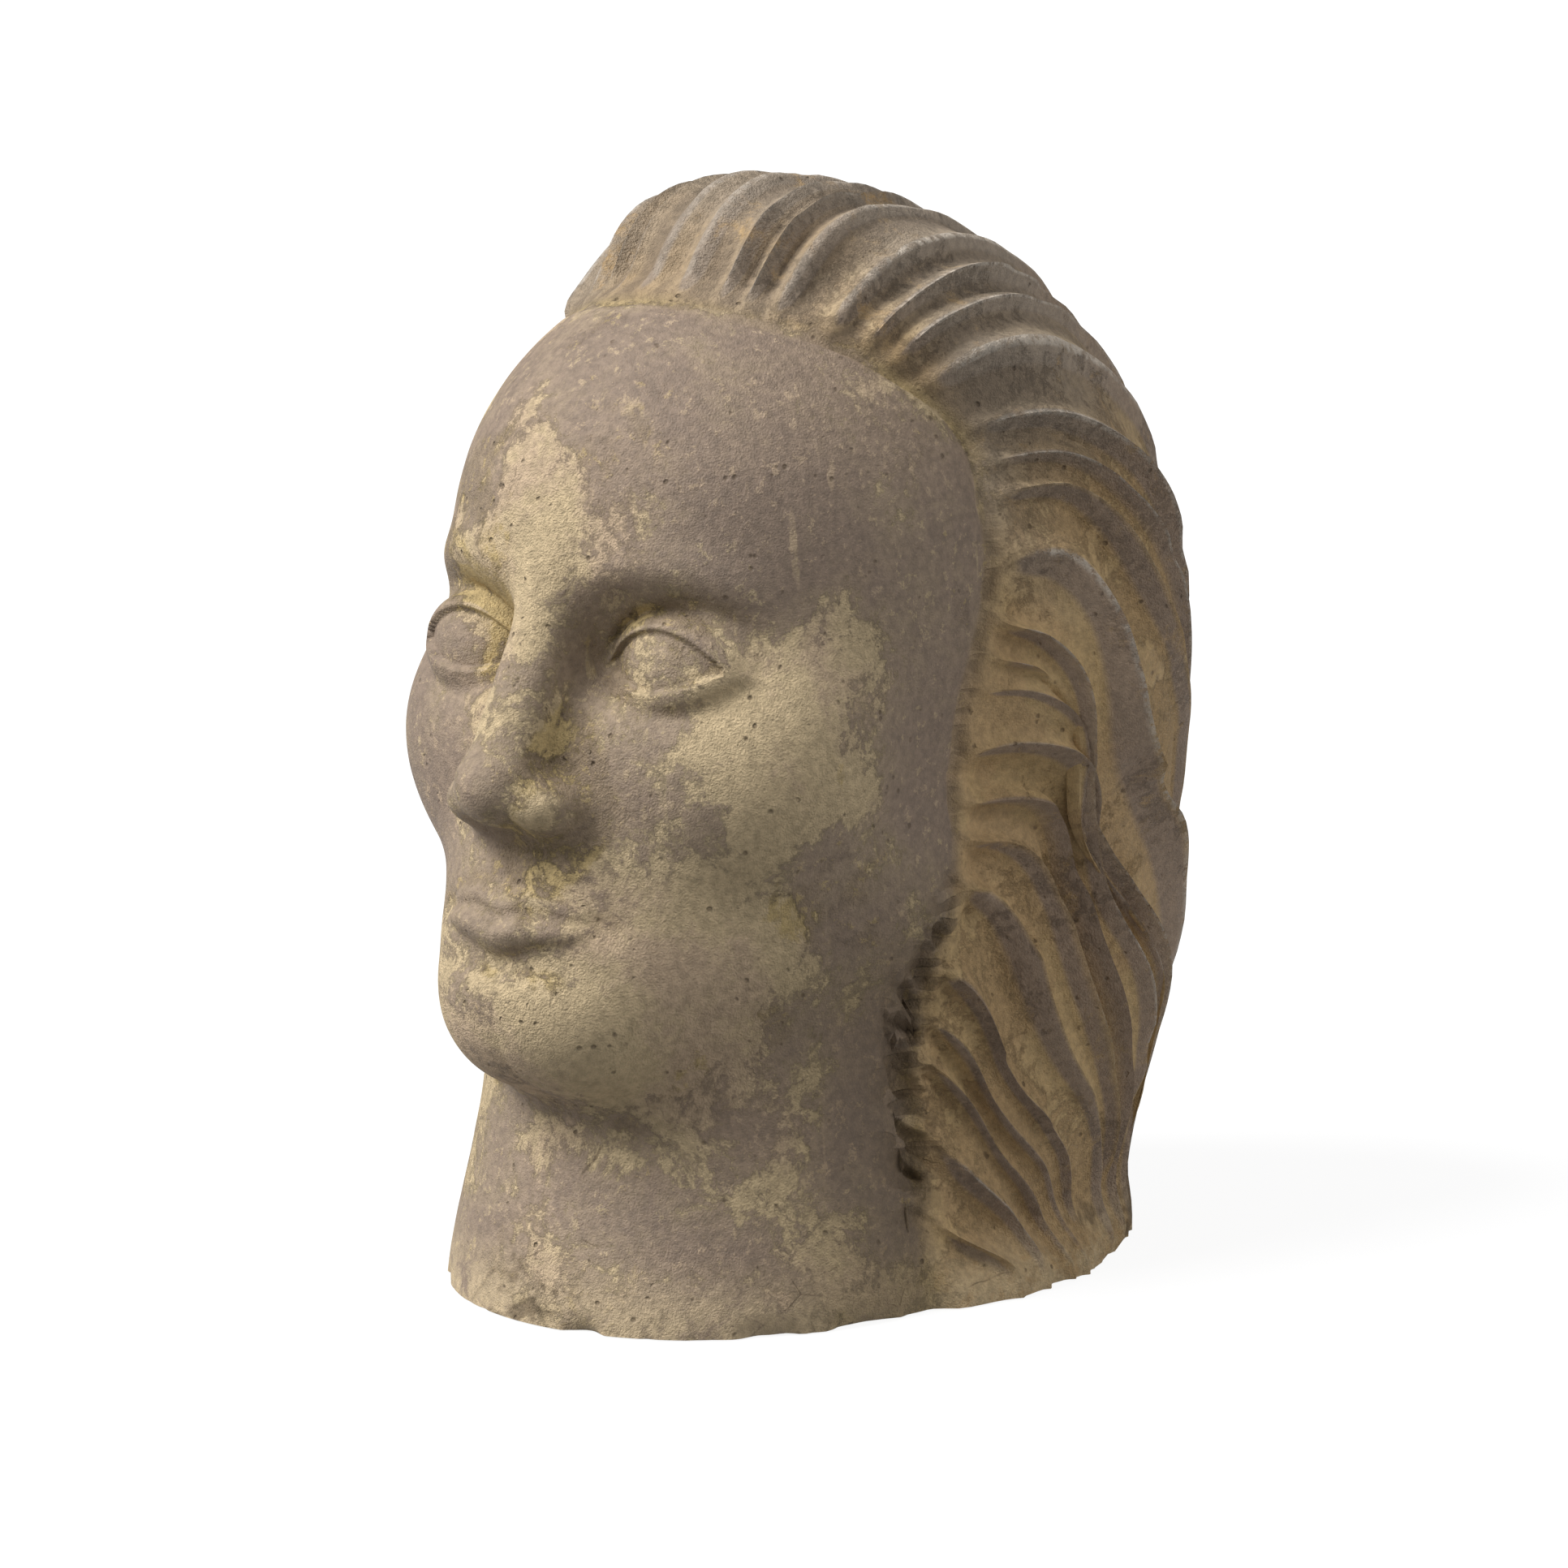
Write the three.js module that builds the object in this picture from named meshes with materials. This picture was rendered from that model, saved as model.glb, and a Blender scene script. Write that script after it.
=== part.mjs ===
// A life-size woman's head in fired clay, with combed-back locks of hair, cut flat under the neck.
// Millimetres, +Z up, the face toward -Y, the origin in the middle of the underside.
//
// The surface is where one signed function, head(), is zero. Rays from an upright axis inside the
// head find it, one ray for each place of a grid whose columns start in the middle of the face,
// meet the hairline and then follow the locks of hair down to the underside.
import * as THREE from 'three';
import { SimplifyModifier } from 'three/addons/modifiers/SimplifyModifier.js';

const { abs, sin, cos, atan, atan2, sqrt, exp, hypot, min, max, sign, PI } = Math;
const { smoothstep, clamp, lerp, degToRad } = THREE.MathUtils;

// ramp() climbs from 0 to 1 over a range, such as FACE_FRONT or one named over, begins or ends.
//
// The face frame leans back by LEAN about the middle of the eye line. In it a place is
// (across, forward, up) with the eye line at up = 0 and the chin at up = -110.
const LEAN = degToRad(9);
const EYE_LINE = { y: -14, z: 162 };

// The skull, and the rounded forms added to it: middle, half sizes and the width of the blend into
// the ones before.
const SKULL = { at: [0, -2, 20], half: [73, 90, 92] };
const FACE_FORMS = {
  forehead: { at: [0, 20, 36], half: [60, 68, 58], blend: 22 },
  midFace: { at: [0, 20, -30], half: [63, 68, 68], blend: 18 },
  chin: { at: [0, 67, -88], half: [22, 25, 21], blend: 16 },
  cheek: { at: [36, 49, -22], half: [30, 26, 28], blend: 24 },
  mouth: { at: [0, 58, -66], half: [36, 34, 30], blend: 16 },
};
const JAW = { from: [12, 66, -90], to: [50, 8, -58], radii: [19, 20], blend: 20 };
const FACE_FRONT = [30, 62];

// The brow ridge arches over the eye and falls toward the temple. The sockets are two soft hollows,
// a wide one round the eye and a narrow one beside the nose.
const BROW = {
  up: 20.5, out: 2.6, height: 7, arch: 3, archAcross: 34, archWidth: 16, fall: 0.0022,
  begins: [8, 20], ends: [46, 60],
};
const SOCKETS = [
  { depth: 9.5, across: 27, up: 4, width: 20, height: 14 },
  { depth: 5, across: 15, up: -1, width: 7, height: 11 },
];
const NOSE = {
  bridge: { from: [0, 83.5, 20], to: [0, 99.5, -32], radii: [7.2, 9.2] },
  tip: { at: [0, 98.5, -34.5], half: [10.2, 12, 9.2], blend: 6 },
  wing: { at: [10.5, 92, -38], half: [8, 11.5, 7.2], blend: 5 },
  nostril: { at: [6.8, 101, -46.5], width: [2.6, 5, 3.2], depth: 2.6 },
  blend: 9,
};

// The eye: a ball, and two lids whose edges are arches that meet in the corners.
const EYE = {
  across: 31.5, forward: 62, radius: 20.5, blend: 3,
  halfWidth: 17.5, upper: 9.2, lower: 6.4, fullness: 0.85, cornerRise: 0.6, cornerBlend: 1,
  lid: 2, lidEdge: [-1, 0.9], lidFades: [-9, -3],
};
const LID_CREASE = { depth: 1.3, above: 5.2, width: 1.5, ends: [15, 19], begins: [1, 4] };

// The closed lips: the line between them, how far each stands out, and the folds round them.
const LIPS = {
  line: -66, middleDip: 1.3, middleWidth: 5, sideRise: 0.9, sideAcross: 11, sideWidth: 6, fallWidth: 24,
  halfWidth: 25.5, upper: 8.6, upperPower: 0.75, lower: 10.4, lowerPower: 0.8, least: 0.01,
  upperOut: 3.3, bow: 1.5, bowWidth: 4, lowerOut: 4.02, rollAt: 0.3, rollDip: 0.18,
  thin: 0.6, front: [60, 80],
};
const LIP_GROOVE = { depth: 2, height: 2.3, corner: [0, 0.15] };
const MOUTH_CORNER = { depth: 1.5, across: 26.5, width: 3.5, height: 4 };
const CHIN_FOLD = { depth: 2.2, up: -79.5, height: 4.5, width: 17 };
const NOSE_FOLD = { depth: 1.1, width: 3.2, begins: [-60, -57], ends: [-50, -46] };

const NECK = {
  halfWidth: 63.5, halfDepth: 69, y: -23.5, flare: 8.5, flareOver: [-10, 62],
  top: 150, topBlend: 20, blend: 12,
};

// The mass of hair: an upright oval with a dome over it, tucked in a little under the crown, narrower
// at the nape and flared at the rim, where it is also squarer in plan. The scale makes it millimetres.
const HAIR = {
  halfWidth: 78, halfDepth: 74, y: 14, fuller: 21.5, deeper: 34, forward: 2, fullOver: [10, 90],
  rimFlare: 7.5, rimForward: 4, rimRounder: 0.5, rimOver: [0, 22],
  square: 3, squareOver: [0, 70],
  domeFrom: 160, domeHeight: 133, crownForward: 26, crownOver: [262, 300], scale: 90,
  tuck: 6.5, tuckAt: 265, tuckHeight: 26,
};

// How far back the hair starts at each height: forward of the ear at the neck, back at the temple
// and forward again over the forehead. HAIR_EDGE is how it rises out of the skin there.
const HAIRLINE = {
  y: -8,
  ear: { forward: 10, over: [150, 200] },
  nape: { forward: 12, over: [70, 125] },
  crown: { forward: 34, over: [222, 262] },
  peak: { forward: 18, over: [248, 266] },
};
const HAIR_EDGE = {
  under: 6, rise: 7, over: [-6, 3], growth: 0.6, rimGrowth: 0.5, rimOver: [0, 40], blend: 12, skinBlend: 2.5,
};

// Locks: crests with hollow channels between them, steeper toward the neck and deeper where the lock
// is wider. They stand closer together, rounder and lower toward the crown.
const LOCKS = {
  perSide: 24, closer: 1.35, leastShare: 0.02, first: 0.5, farSideShift: 0.5,
  uneven: 0.25, unevenRate: 1.7, unevenOver: [0, 2], lean: 0.1, skew: 0.045,
  depth: 6.8, fullWidth: 14, deepest: 1.15, fadeIn: [-1, 14], sunk: 0.8, rimDepth: 0.45, rimOver: [3, 28],
  merge: [6, 9.5], mergedDeepest: 0.8, split: [21, 32], crestWear: 0.003, splitWear: 0.006,
  beat: 0.2, beatRate: 2.3, beatLength: 33, crownRound: 0.85, crownLow: 0.4, crownOver: [0.45, 0.72],
};

// The rays: level at the axis's top, tipping down under the chin and level again at the underside.
// FACE_MIDDLE is the middle of the face on the disc that rayAt() describes.
const AXIS = { y: -8, top: 196, level: 0.46, pivot: 80 };
const TIP = { behind: 0.3, before: 0.95, lowness: 2.4 };
const FACE_MIDDLE = 0.56;
const FAR = 190;
const HALVINGS = 32;

// The grid: the share of the columns on the front of the neck, where the hairline row runs there, and
// how far the first locks begin in front of the hairline.
const GRID = {
  columns: 400, faceRows: 110, hairRows: 44, front: 0.35,
  rowAtFront: 0.56, rowAtSide: 0.88, rowBlend: 0.02, turn: degToRad(3.5), turnShare: 0.3,
};

// Where the columns end on the rim. A flat facet lies between the neck and the first lock there.
const RIM = {
  first: degToRad(147.5), facet: degToRad(10), facetOver: [0, 0.05], power: 1.25, frontPower: 6,
};

// How soon an upper lock sweeps round behind the hairline: sooner by the crown and the ear, later
// between them at the temple.
const HASTE = {
  plain: 2,
  crown: { more: 1.3, over: [0.7, 0.85] },
  temple: { less: 1, share: 0.57, width: 0.075 },
  ear: { more: 0.5, share: 0.43, width: 0.06 },
};

// A low lock, from a share of the hairline below this range, starts steeply at the neck, slants back
// and turns down again at its knee.
const KNEE = { over: [0.27, 0.42], lead: 0.035, latest: 0.985, at: 0.8, power: 1.5, blend: 0.2 };

// How far the locks swing to and fro on their way.
const SWING = {
  low: degToRad(1.2), begins: [0.1, 0.2], ends: [0.5, 0.6],
  temple: { angle: degToRad(1.5), share: 0.62, width: 0.07 },
  over: [0, 0.15], waves: 1.7, start: 0.325, perShare: 1.09,
};

// The fan of rays by which the hairline is found in side view.
const FAN = {
  z: 100, from: degToRad(-58), to: degToRad(90), samples: 600, near: 20, far: 260, spread: degToRad(100),
};
const TRIANGLES = 9900;

const CLAY = { color: 0x837262, roughness: 0.85, metalness: 0 };

function ramp(x, [from, to]) {
  return smoothstep(x, from, to);
}

function bell(x, width) {
  return exp(-((x / width) ** 2));
}

function smoothMin(a, b, blend) {
  const h = clamp(0.5 + 0.5 * (b - a) / blend, 0, 1);
  return b * (1 - h) + a * h - blend * h * (1 - h);
}

function smoothMax(a, b, blend) {
  return -smoothMin(-a, -b, blend);
}

function ellipsoid(p, { at, half }) {
  let k0 = 0;
  let k1 = 0;
  for (let i = 0; i < 3; i += 1) {
    const d = p[i] - at[i];
    k0 += (d / half[i]) ** 2;
    k1 += (d / half[i] ** 2) ** 2;
  }
  return sqrt(k0) * (sqrt(k0) - 1) / max(sqrt(k1), 1e-9);
}

function taperedBar(p, { from, to, radii }) {
  let along = 0;
  let length = 0;
  for (let i = 0; i < 3; i += 1) {
    along += (p[i] - from[i]) * (to[i] - from[i]);
    length += (to[i] - from[i]) ** 2;
  }
  const t = clamp(along / length, 0, 1);
  const away = from.map((a, i) => p[i] - lerp(a, to[i], t));
  return hypot(...away) - lerp(radii[0], radii[1], t);
}

// The ball of the eye under an upper and a lower lid, with a crease above the upper one.
function eye(side, forward, up) {
  const s = (side - EYE.across) / EYE.halfWidth;
  const arch = 1 - s * s;
  const corner = EYE.cornerRise * s;
  const belowUpper = EYE.upper * sign(arch) * abs(arch) ** EYE.fullness + corner - up;
  const aboveLower = up + EYE.lower * arch - corner;
  const open = smoothMin(belowUpper, aboveLower, EYE.cornerBlend);
  const lid = EYE.lid * (1 - ramp(open, EYE.lidEdge)) * ramp(open, EYE.lidFades);
  const ball = hypot(side - EYE.across, forward - EYE.forward, up) - (EYE.radius + lid);
  const reach = (1 - ramp(abs(side - EYE.across), LID_CREASE.ends)) * ramp(up, LID_CREASE.begins);
  const crease = LID_CREASE.depth * bell(belowUpper + LID_CREASE.above, LID_CREASE.width) * reach;
  return { ball, crease };
}

// How far the closed lips stand out from the mouth, with the folds over the chin and under the nose.
function lips(side, up) {
  const dip = LIPS.middleDip * bell(side, LIPS.middleWidth) + (side / LIPS.fallWidth) ** 2;
  const line = LIPS.line - dip + LIPS.sideRise * bell(side - LIPS.sideAcross, LIPS.sideWidth);
  const reach = clamp(1 - (side / LIPS.halfWidth) ** 2, 0, 1);
  const upperHeight = LIPS.upper * reach ** LIPS.upperPower - LIPS.bow * bell(side, LIPS.bowWidth);
  const above = clamp((up - line) / (LIPS.least + upperHeight), 0, 1);
  const below = clamp((line - up) / (LIPS.least + LIPS.lower * reach ** LIPS.lowerPower), 0, 1);
  const upper = up > line ? LIPS.upperOut * (1 - above ** 2) : 0;
  const rolled = (max(below - LIPS.rollAt, 0) / (1 - LIPS.rollAt)) ** 2;
  const roll = 1 - rolled - LIPS.rollDip * (1 - min(below / LIPS.rollAt, 1)) ** 2;
  const lower = up > line ? 0 : LIPS.lowerOut * roll;
  const groove = LIP_GROOVE.depth * bell(up - line, LIP_GROOVE.height) * ramp(reach, LIP_GROOVE.corner);
  const corner = MOUTH_CORNER.depth * bell(side - MOUTH_CORNER.across, MOUTH_CORNER.width)
    * bell(up - line, MOUTH_CORNER.height);
  const chinFold = CHIN_FOLD.depth * bell(up - CHIN_FOLD.up, CHIN_FOLD.height) * bell(side, CHIN_FOLD.width);
  const noseFold = NOSE_FOLD.depth * bell(side, NOSE_FOLD.width)
    * ramp(up, NOSE_FOLD.begins) * (1 - ramp(up, NOSE_FOLD.ends));
  return (upper + lower) * reach ** LIPS.thin - groove - corner - chinFold - noseFold;
}

function browAndSockets(side, up) {
  const fall = BROW.fall * max(side - BROW.archAcross, 0) ** 2;
  const line = BROW.up + BROW.arch * bell(side - BROW.archAcross, BROW.archWidth) - fall;
  const reach = ramp(side, BROW.begins) * (1 - ramp(side, BROW.ends));
  const brow = BROW.out * bell(up - line, BROW.height) * reach;
  let hollow = 0;
  for (const { depth, across, up: middle, width, height } of SOCKETS) {
    hollow += depth * bell(side - across, width) * bell(up - middle, height);
  }
  return hollow - brow;
}

function nostril(p) {
  const { at, width, depth } = NOSE.nostril;
  return depth * bell(p[0] - at[0], width[0]) * bell(p[1] - at[1], width[1]) * bell(p[2] - at[2], width[2]);
}

function face(across, forward, up) {
  const side = abs(across);
  const p = [side, forward, up];
  const front = ramp(forward, FACE_FRONT);
  let f = ellipsoid(p, SKULL);
  for (const form of Object.values(FACE_FORMS)) f = smoothMin(f, ellipsoid(p, form), form.blend);
  f = smoothMin(f, taperedBar(p, JAW), JAW.blend) + front * browAndSockets(side, up);

  let nose = taperedBar(p, NOSE.bridge);
  nose = smoothMin(nose, ellipsoid(p, NOSE.tip), NOSE.tip.blend);
  nose = smoothMin(nose, ellipsoid(p, NOSE.wing), NOSE.wing.blend);
  f = smoothMin(f, nose, NOSE.blend) + nostril(p);

  const { ball, crease } = eye(side, forward, up);
  f = smoothMin(f, ball, EYE.blend) + front * crease;
  return f - ramp(forward, LIPS.front) * lips(side, up);
}

// The bare skin: the face leant back on an oval neck that flares toward the underside.
function skin(x, y, z) {
  const dy = y - EYE_LINE.y;
  const dz = z - EYE_LINE.z;
  const forward = -dy * cos(LEAN) + dz * sin(LEAN);
  const up = dy * sin(LEAN) + dz * cos(LEAN);
  const flare = NECK.flare * (1 - ramp(z, NECK.flareOver));
  const middle = NECK.y - flare / 2;
  const round = hypot(x / (NECK.halfWidth + flare), (y - middle) / (NECK.halfDepth + flare));
  const neck = smoothMax((round - 1) * NECK.halfWidth, z - NECK.top, NECK.topBlend);
  return smoothMin(face(x, forward, up), neck, NECK.blend);
}

function hairMass(x, y, z) {
  const full = ramp(z, HAIR.fullOver);
  const rim = 1 - ramp(z, HAIR.rimOver);
  const out = HAIR.rimFlare * rim - HAIR.tuck * bell(z - HAIR.tuckAt, HAIR.tuckHeight);
  const halfWidth = HAIR.halfWidth + HAIR.fuller * full + out;
  const halfDepth = HAIR.halfDepth + HAIR.deeper * full + out;
  const forward = HAIR.forward * full + HAIR.rimForward * rim + HAIR.crownForward * ramp(z, HAIR.crownOver);
  const power = HAIR.square - ramp(z, HAIR.squareOver) - HAIR.rimRounder * rim;
  const across = abs(x / halfWidth) ** power + abs((y - HAIR.y + forward) / halfDepth) ** power;
  const dome = max(z - HAIR.domeFrom, 0) / HAIR.domeHeight;
  return (sqrt(across ** (2 / power) + dome ** 2) - 1) * HAIR.scale;
}

function hairlineY(z) {
  const ear = HAIRLINE.ear.forward * (1 - ramp(z, HAIRLINE.ear.over));
  const nape = HAIRLINE.nape.forward * (1 - ramp(z, HAIRLINE.nape.over));
  const crown = HAIRLINE.crown.forward * ramp(z, HAIRLINE.crown.over);
  const peak = HAIRLINE.peak.forward * ramp(z, HAIRLINE.peak.over);
  return HAIRLINE.y - ear - nape - crown - peak;
}

function head(x, y, z, relief) {
  const bare = skin(x, y, z);
  const back = y - hairlineY(z);
  const growth = HAIR_EDGE.growth + HAIR_EDGE.rimGrowth * (1 - ramp(z, HAIR_EDGE.rimOver));
  const edge = HAIR_EDGE.rise * ramp(back, HAIR_EDGE.over) - HAIR_EDGE.under;
  const thickness = edge + growth * max(back, 0);
  const hair = smoothMax(hairMass(x, y, z), bare - thickness, HAIR_EDGE.blend) - relief;
  return smoothMin(bare, hair, HAIR_EDGE.skinBlend);
}

// How strongly the rays tip down, by azimuth from the face and by the share of the way down.
function tip(azimuth, t) {
  return (TIP.behind + TIP.before * ramp(cos(azimuth), [0, 1])) * sin(PI * t ** TIP.lowness) ** 2;
}

function rayThrough(azimuth, reach) {
  const t = clamp((reach - AXIS.level) / (1 - AXIS.level), 0, 1);
  const slope = tip(azimuth, t);
  const rise = reach < AXIS.level ? PI / 2 * (1 - reach / AXIS.level) : -atan(slope);
  const z = AXIS.top * (1 - t) + slope * AXIS.pivot;
  const level = cos(rise);
  return { z, direction: [level * sin(azimuth), -level * cos(azimuth), sin(rise)] };
}

function surfacePoint(ray, relief) {
  const [dx, dy, dz] = ray.direction;
  let near = 0;
  let far = FAR;
  for (let i = 0; i < HALVINGS; i += 1) {
    const middle = (near + far) / 2;
    const inside = head(dx * middle, AXIS.y + dy * middle, ray.z + dz * middle, relief) < 0;
    if (inside) near = middle;
    else far = middle;
  }
  return [dx * near, AXIS.y + dy * near, ray.z + dz * near];
}

// A place on the unit disc, with the middle of the face at its centre and the underside at its rim,
// becomes a ray: a Moebius map carries the face's place to the disc of azimuth and reach.
function rayAt(angle, radius) {
  const x = radius * cos(angle);
  const y = radius * sin(angle);
  const a = x + FACE_MIDDLE;
  const b = 1 + FACE_MIDDLE * x;
  const c = FACE_MIDDLE * y;
  const scale = b * b + c * c;
  const u = (a * b + y * c) / scale;
  const v = (y * b - a * c) / scale;
  return rayThrough(atan2(v, u), min(hypot(u, v), 1));
}

// The other way round: the disc's place of a point on the surface.
function discPlace([x, y, z]) {
  const azimuth = atan2(x, -(y - AXIS.y));
  const out = hypot(x, y - AXIS.y);
  const rise = atan2(z - AXIS.top, out);
  let low = 0;
  let high = 1;
  for (let i = 0; i < HALVINGS; i += 1) {
    const t = (low + high) / 2;
    const above = AXIS.top * (1 - t) + tip(azimuth, t) * (AXIS.pivot - out) > z;
    if (above) low = t;
    else high = t;
  }
  const reach = rise >= 0 ? AXIS.level * (1 - rise / (PI / 2)) : lerp(AXIS.level, 1, low);
  const a = reach * cos(azimuth) - FACE_MIDDLE;
  const b = reach * sin(azimuth);
  const c = 1 - FACE_MIDDLE * reach * cos(azimuth);
  const d = -FACE_MIDDLE * b;
  const scale = c * c + d * d;
  const u = (a * c + b * d) / scale;
  const v = (b * c - a * d) / scale;
  return { angle: atan2(v, u), radius: hypot(u, v) };
}

// The hairline on the proper left side, from the underside to the middle of the forehead, as places
// on the disc with the share of its length run so far.
function hairlinePlaces() {
  const places = [];
  let last = null;
  let length = 0;
  for (let i = 0; i <= FAN.samples; i += 1) {
    const fan = lerp(FAN.from, FAN.to, i / FAN.samples);
    let { near, far } = FAN;
    for (let j = 0; j < HALVINGS; j += 1) {
      const middle = (near + far) / 2;
      const z = FAN.z + middle * sin(fan);
      if (skin(middle * cos(fan), hairlineY(z), z) < 0) near = middle;
      else far = middle;
    }
    const z = FAN.z + near * sin(fan);
    if (z > 0) {
      const point = [near * cos(fan), hairlineY(z), z];
      if (last) length += distance(point, last);
      places.push({ length, ...discPlace(point) });
      last = point;
    }
  }
  return places.map((place) => ({ ...place, length: place.length / length }));
}

function alongHairline(places, share, key) {
  const next = max(places.findIndex((place) => place.length >= share), 1);
  const a = places[next - 1];
  const b = places[next];
  return lerp(a[key], b[key], clamp((share - a.length) / (b.length - a.length), 0, 1));
}

function hasteOf(share) {
  const crown = HASTE.crown.more * ramp(share, HASTE.crown.over);
  const temple = HASTE.temple.less * bell(share - HASTE.temple.share, HASTE.temple.width);
  const ear = HASTE.ear.more * bell(share - HASTE.ear.share, HASTE.ear.width);
  return HASTE.plain + crown - temple + ear;
}

function swingOf(share) {
  const low = SWING.low * ramp(share, SWING.begins) * (1 - ramp(share, SWING.ends));
  return low + SWING.temple.angle * bell(share - SWING.temple.share, SWING.temple.width);
}

// One column of the grid: where it leaves the middle of the face, meets the hairline row, begins to
// sweep back and ends.
function makeColumn(places, index) {
  const v = 2 * index / GRID.columns - 1;
  const side = v < 0 ? -1 : 1;
  const round = abs(v);
  const first = places[0].angle - GRID.turn;
  if (round < GRID.front) {
    const front = round / GRID.front;
    const row = lerp(GRID.rowAtFront, GRID.rowAtSide, front ** 2);
    return {
      side,
      hairy: false,
      lock: 0,
      share: 0,
      low: 0,
      start: FAN.spread * front,
      hairline: first * front,
      row,
      leaves: row,
      end: first * front + (RIM.first - RIM.facet - first) * front ** RIM.frontPower,
      haste: HASTE.plain,
      swing: 0,
    };
  }
  const share = (round - GRID.front) / (1 - GRID.front);
  const turn = GRID.turn * max(1 - share / GRID.turnShare, 0) ** 2;
  const radius = alongHairline(places, share, 'radius');
  const low = 1 - ramp(share, KNEE.over);
  const farSide = v < 0 ? LOCKS.farSideShift * (1 - share) : 0;
  return {
    side,
    hairy: true,
    lock: LOCKS.perSide * share ** LOCKS.closer + LOCKS.first + farSide,
    share,
    low,
    start: lerp(FAN.spread, PI, share),
    hairline: alongHairline(places, share, 'angle') - turn,
    row: smoothMin(radius, GRID.rowAtSide, GRID.rowBlend),
    leaves: min(radius, KNEE.latest) - KNEE.lead * low,
    end: PI - (PI - RIM.first) * (1 - share) ** RIM.power - RIM.facet * (1 - ramp(share, RIM.facetOver)),
    haste: hasteOf(share),
    swing: swingOf(share),
  };
}

// The angle of a column at a radius of the disc, on its way from the hairline to the rim.
function swept(column, radius) {
  const x = clamp((radius - column.leaves) / (1 - column.leaves), 0, 1);
  const upper = 1 - (1 - x) ** column.haste;
  const lower = smoothMin((x / KNEE.at) ** KNEE.power, 1, KNEE.blend);
  const wave = sin(2 * PI * (SWING.waves * x + SWING.start + SWING.perShare * column.share));
  const angle = lerp(column.hairline, column.end, lerp(upper, lower, column.low));
  return angle + column.swing * ramp(x, SWING.over) * wave;
}

function gridRay(column, row) {
  if (row <= GRID.faceRows) {
    const s = row / GRID.faceRows;
    return rayAt(column.side * lerp(column.start, swept(column, column.row), s * s), column.row * s);
  }
  const radius = lerp(column.row, 1, (row - GRID.faceRows) / GRID.hairRows);
  return rayAt(column.side * swept(column, radius), radius);
}

// A crest at each whole number of phase and a hollow channel between, from sharp to round.
function ridge(phase, wear, roundness) {
  const wave = sin(PI * phase) ** 2;
  return 1 - lerp(sqrt(wave + wear), wave, roundness);
}

// A crest for each lock, or for each two where they are narrow, or two where the lock is wide.
function lockProfile({ lock, share }, width) {
  const roundness = LOCKS.crownRound * ramp(share, LOCKS.crownOver);
  const phase = lock + LOCKS.lean * sin(2 * PI * lock) - LOCKS.skew * (1 - cos(2 * PI * lock));
  const merged = ridge(phase / 2, LOCKS.crestWear, roundness);
  const single = ridge(phase, LOCKS.crestWear, roundness);
  const double = ridge(2 * phase, LOCKS.splitWear, roundness);
  return lerp(merged, lerp(single, double, ramp(width, LOCKS.split)), ramp(width, LOCKS.merge));
}

// How far the locks stand out. The relief fades in behind the hairline and is shallower at the rim,
// and each lock beats a little deeper and shallower along its way.
function lockRelief(column, width, run, back, z) {
  if (!column.hairy) return 0;
  const { lock: place, share } = column;
  const lock = place + LOCKS.uneven * sin(LOCKS.unevenRate * place) * ramp(place, LOCKS.unevenOver);
  const profile = lockProfile({ lock, share }, width) - LOCKS.sunk;
  const fade = ramp(min(run, back), LOCKS.fadeIn) * lerp(LOCKS.rimDepth, 1, ramp(z, LOCKS.rimOver));
  const beat = 1 + LOCKS.beat * sin(LOCKS.beatRate * lock + run / LOCKS.beatLength);
  const merged = min(2 * width / LOCKS.fullWidth, LOCKS.mergedDeepest);
  const wide = lerp(merged, width / LOCKS.fullWidth, ramp(width, LOCKS.merge));
  const crown = 1 - LOCKS.crownLow * ramp(share, LOCKS.crownOver);
  return LOCKS.depth * crown * min(wide, LOCKS.deepest) * fade * beat * profile;
}

function distance(a, b) {
  return hypot(a[0] - b[0], a[1] - b[1], a[2] - b[2]);
}

// The carved surface, row by row: first the plain surface, from which the width of each lock and the
// way run from the hairline are measured, then the same rays again with the relief.
function carvedRows(columns) {
  const rows = GRID.faceRows + GRID.hairRows;
  const rays = [];
  const plain = [];
  for (let row = 1; row <= rows; row += 1) {
    rays.push(columns.map((column) => gridRay(column, row)));
    plain.push(rays[row - 1].map((ray) => surfacePoint(ray, 0)));
  }
  const n = columns.length;
  const locksPerColumn = columns.map(({ share }) => 2 * LOCKS.perSide * LOCKS.closer
    * max(share, LOCKS.leastShare) ** (LOCKS.closer - 1) / (n * (1 - GRID.front)));
  const runs = columns.map(() => 0);
  return plain.map((points, row) => points.map((point, i) => {
    if (row < GRID.faceRows) return point;
    runs[i] += distance(point, plain[row - 1][i]);
    const across = distance(points[(i + 1) % n], points[(i + n - 1) % n]) / 2;
    const back = point[1] - hairlineY(point[2]);
    const relief = lockRelief(columns[i], across / locksPerColumn[i], runs[i], back, point[2]);
    return relief === 0 ? point : surfacePoint(rays[row][i], relief);
  }));
}

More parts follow.
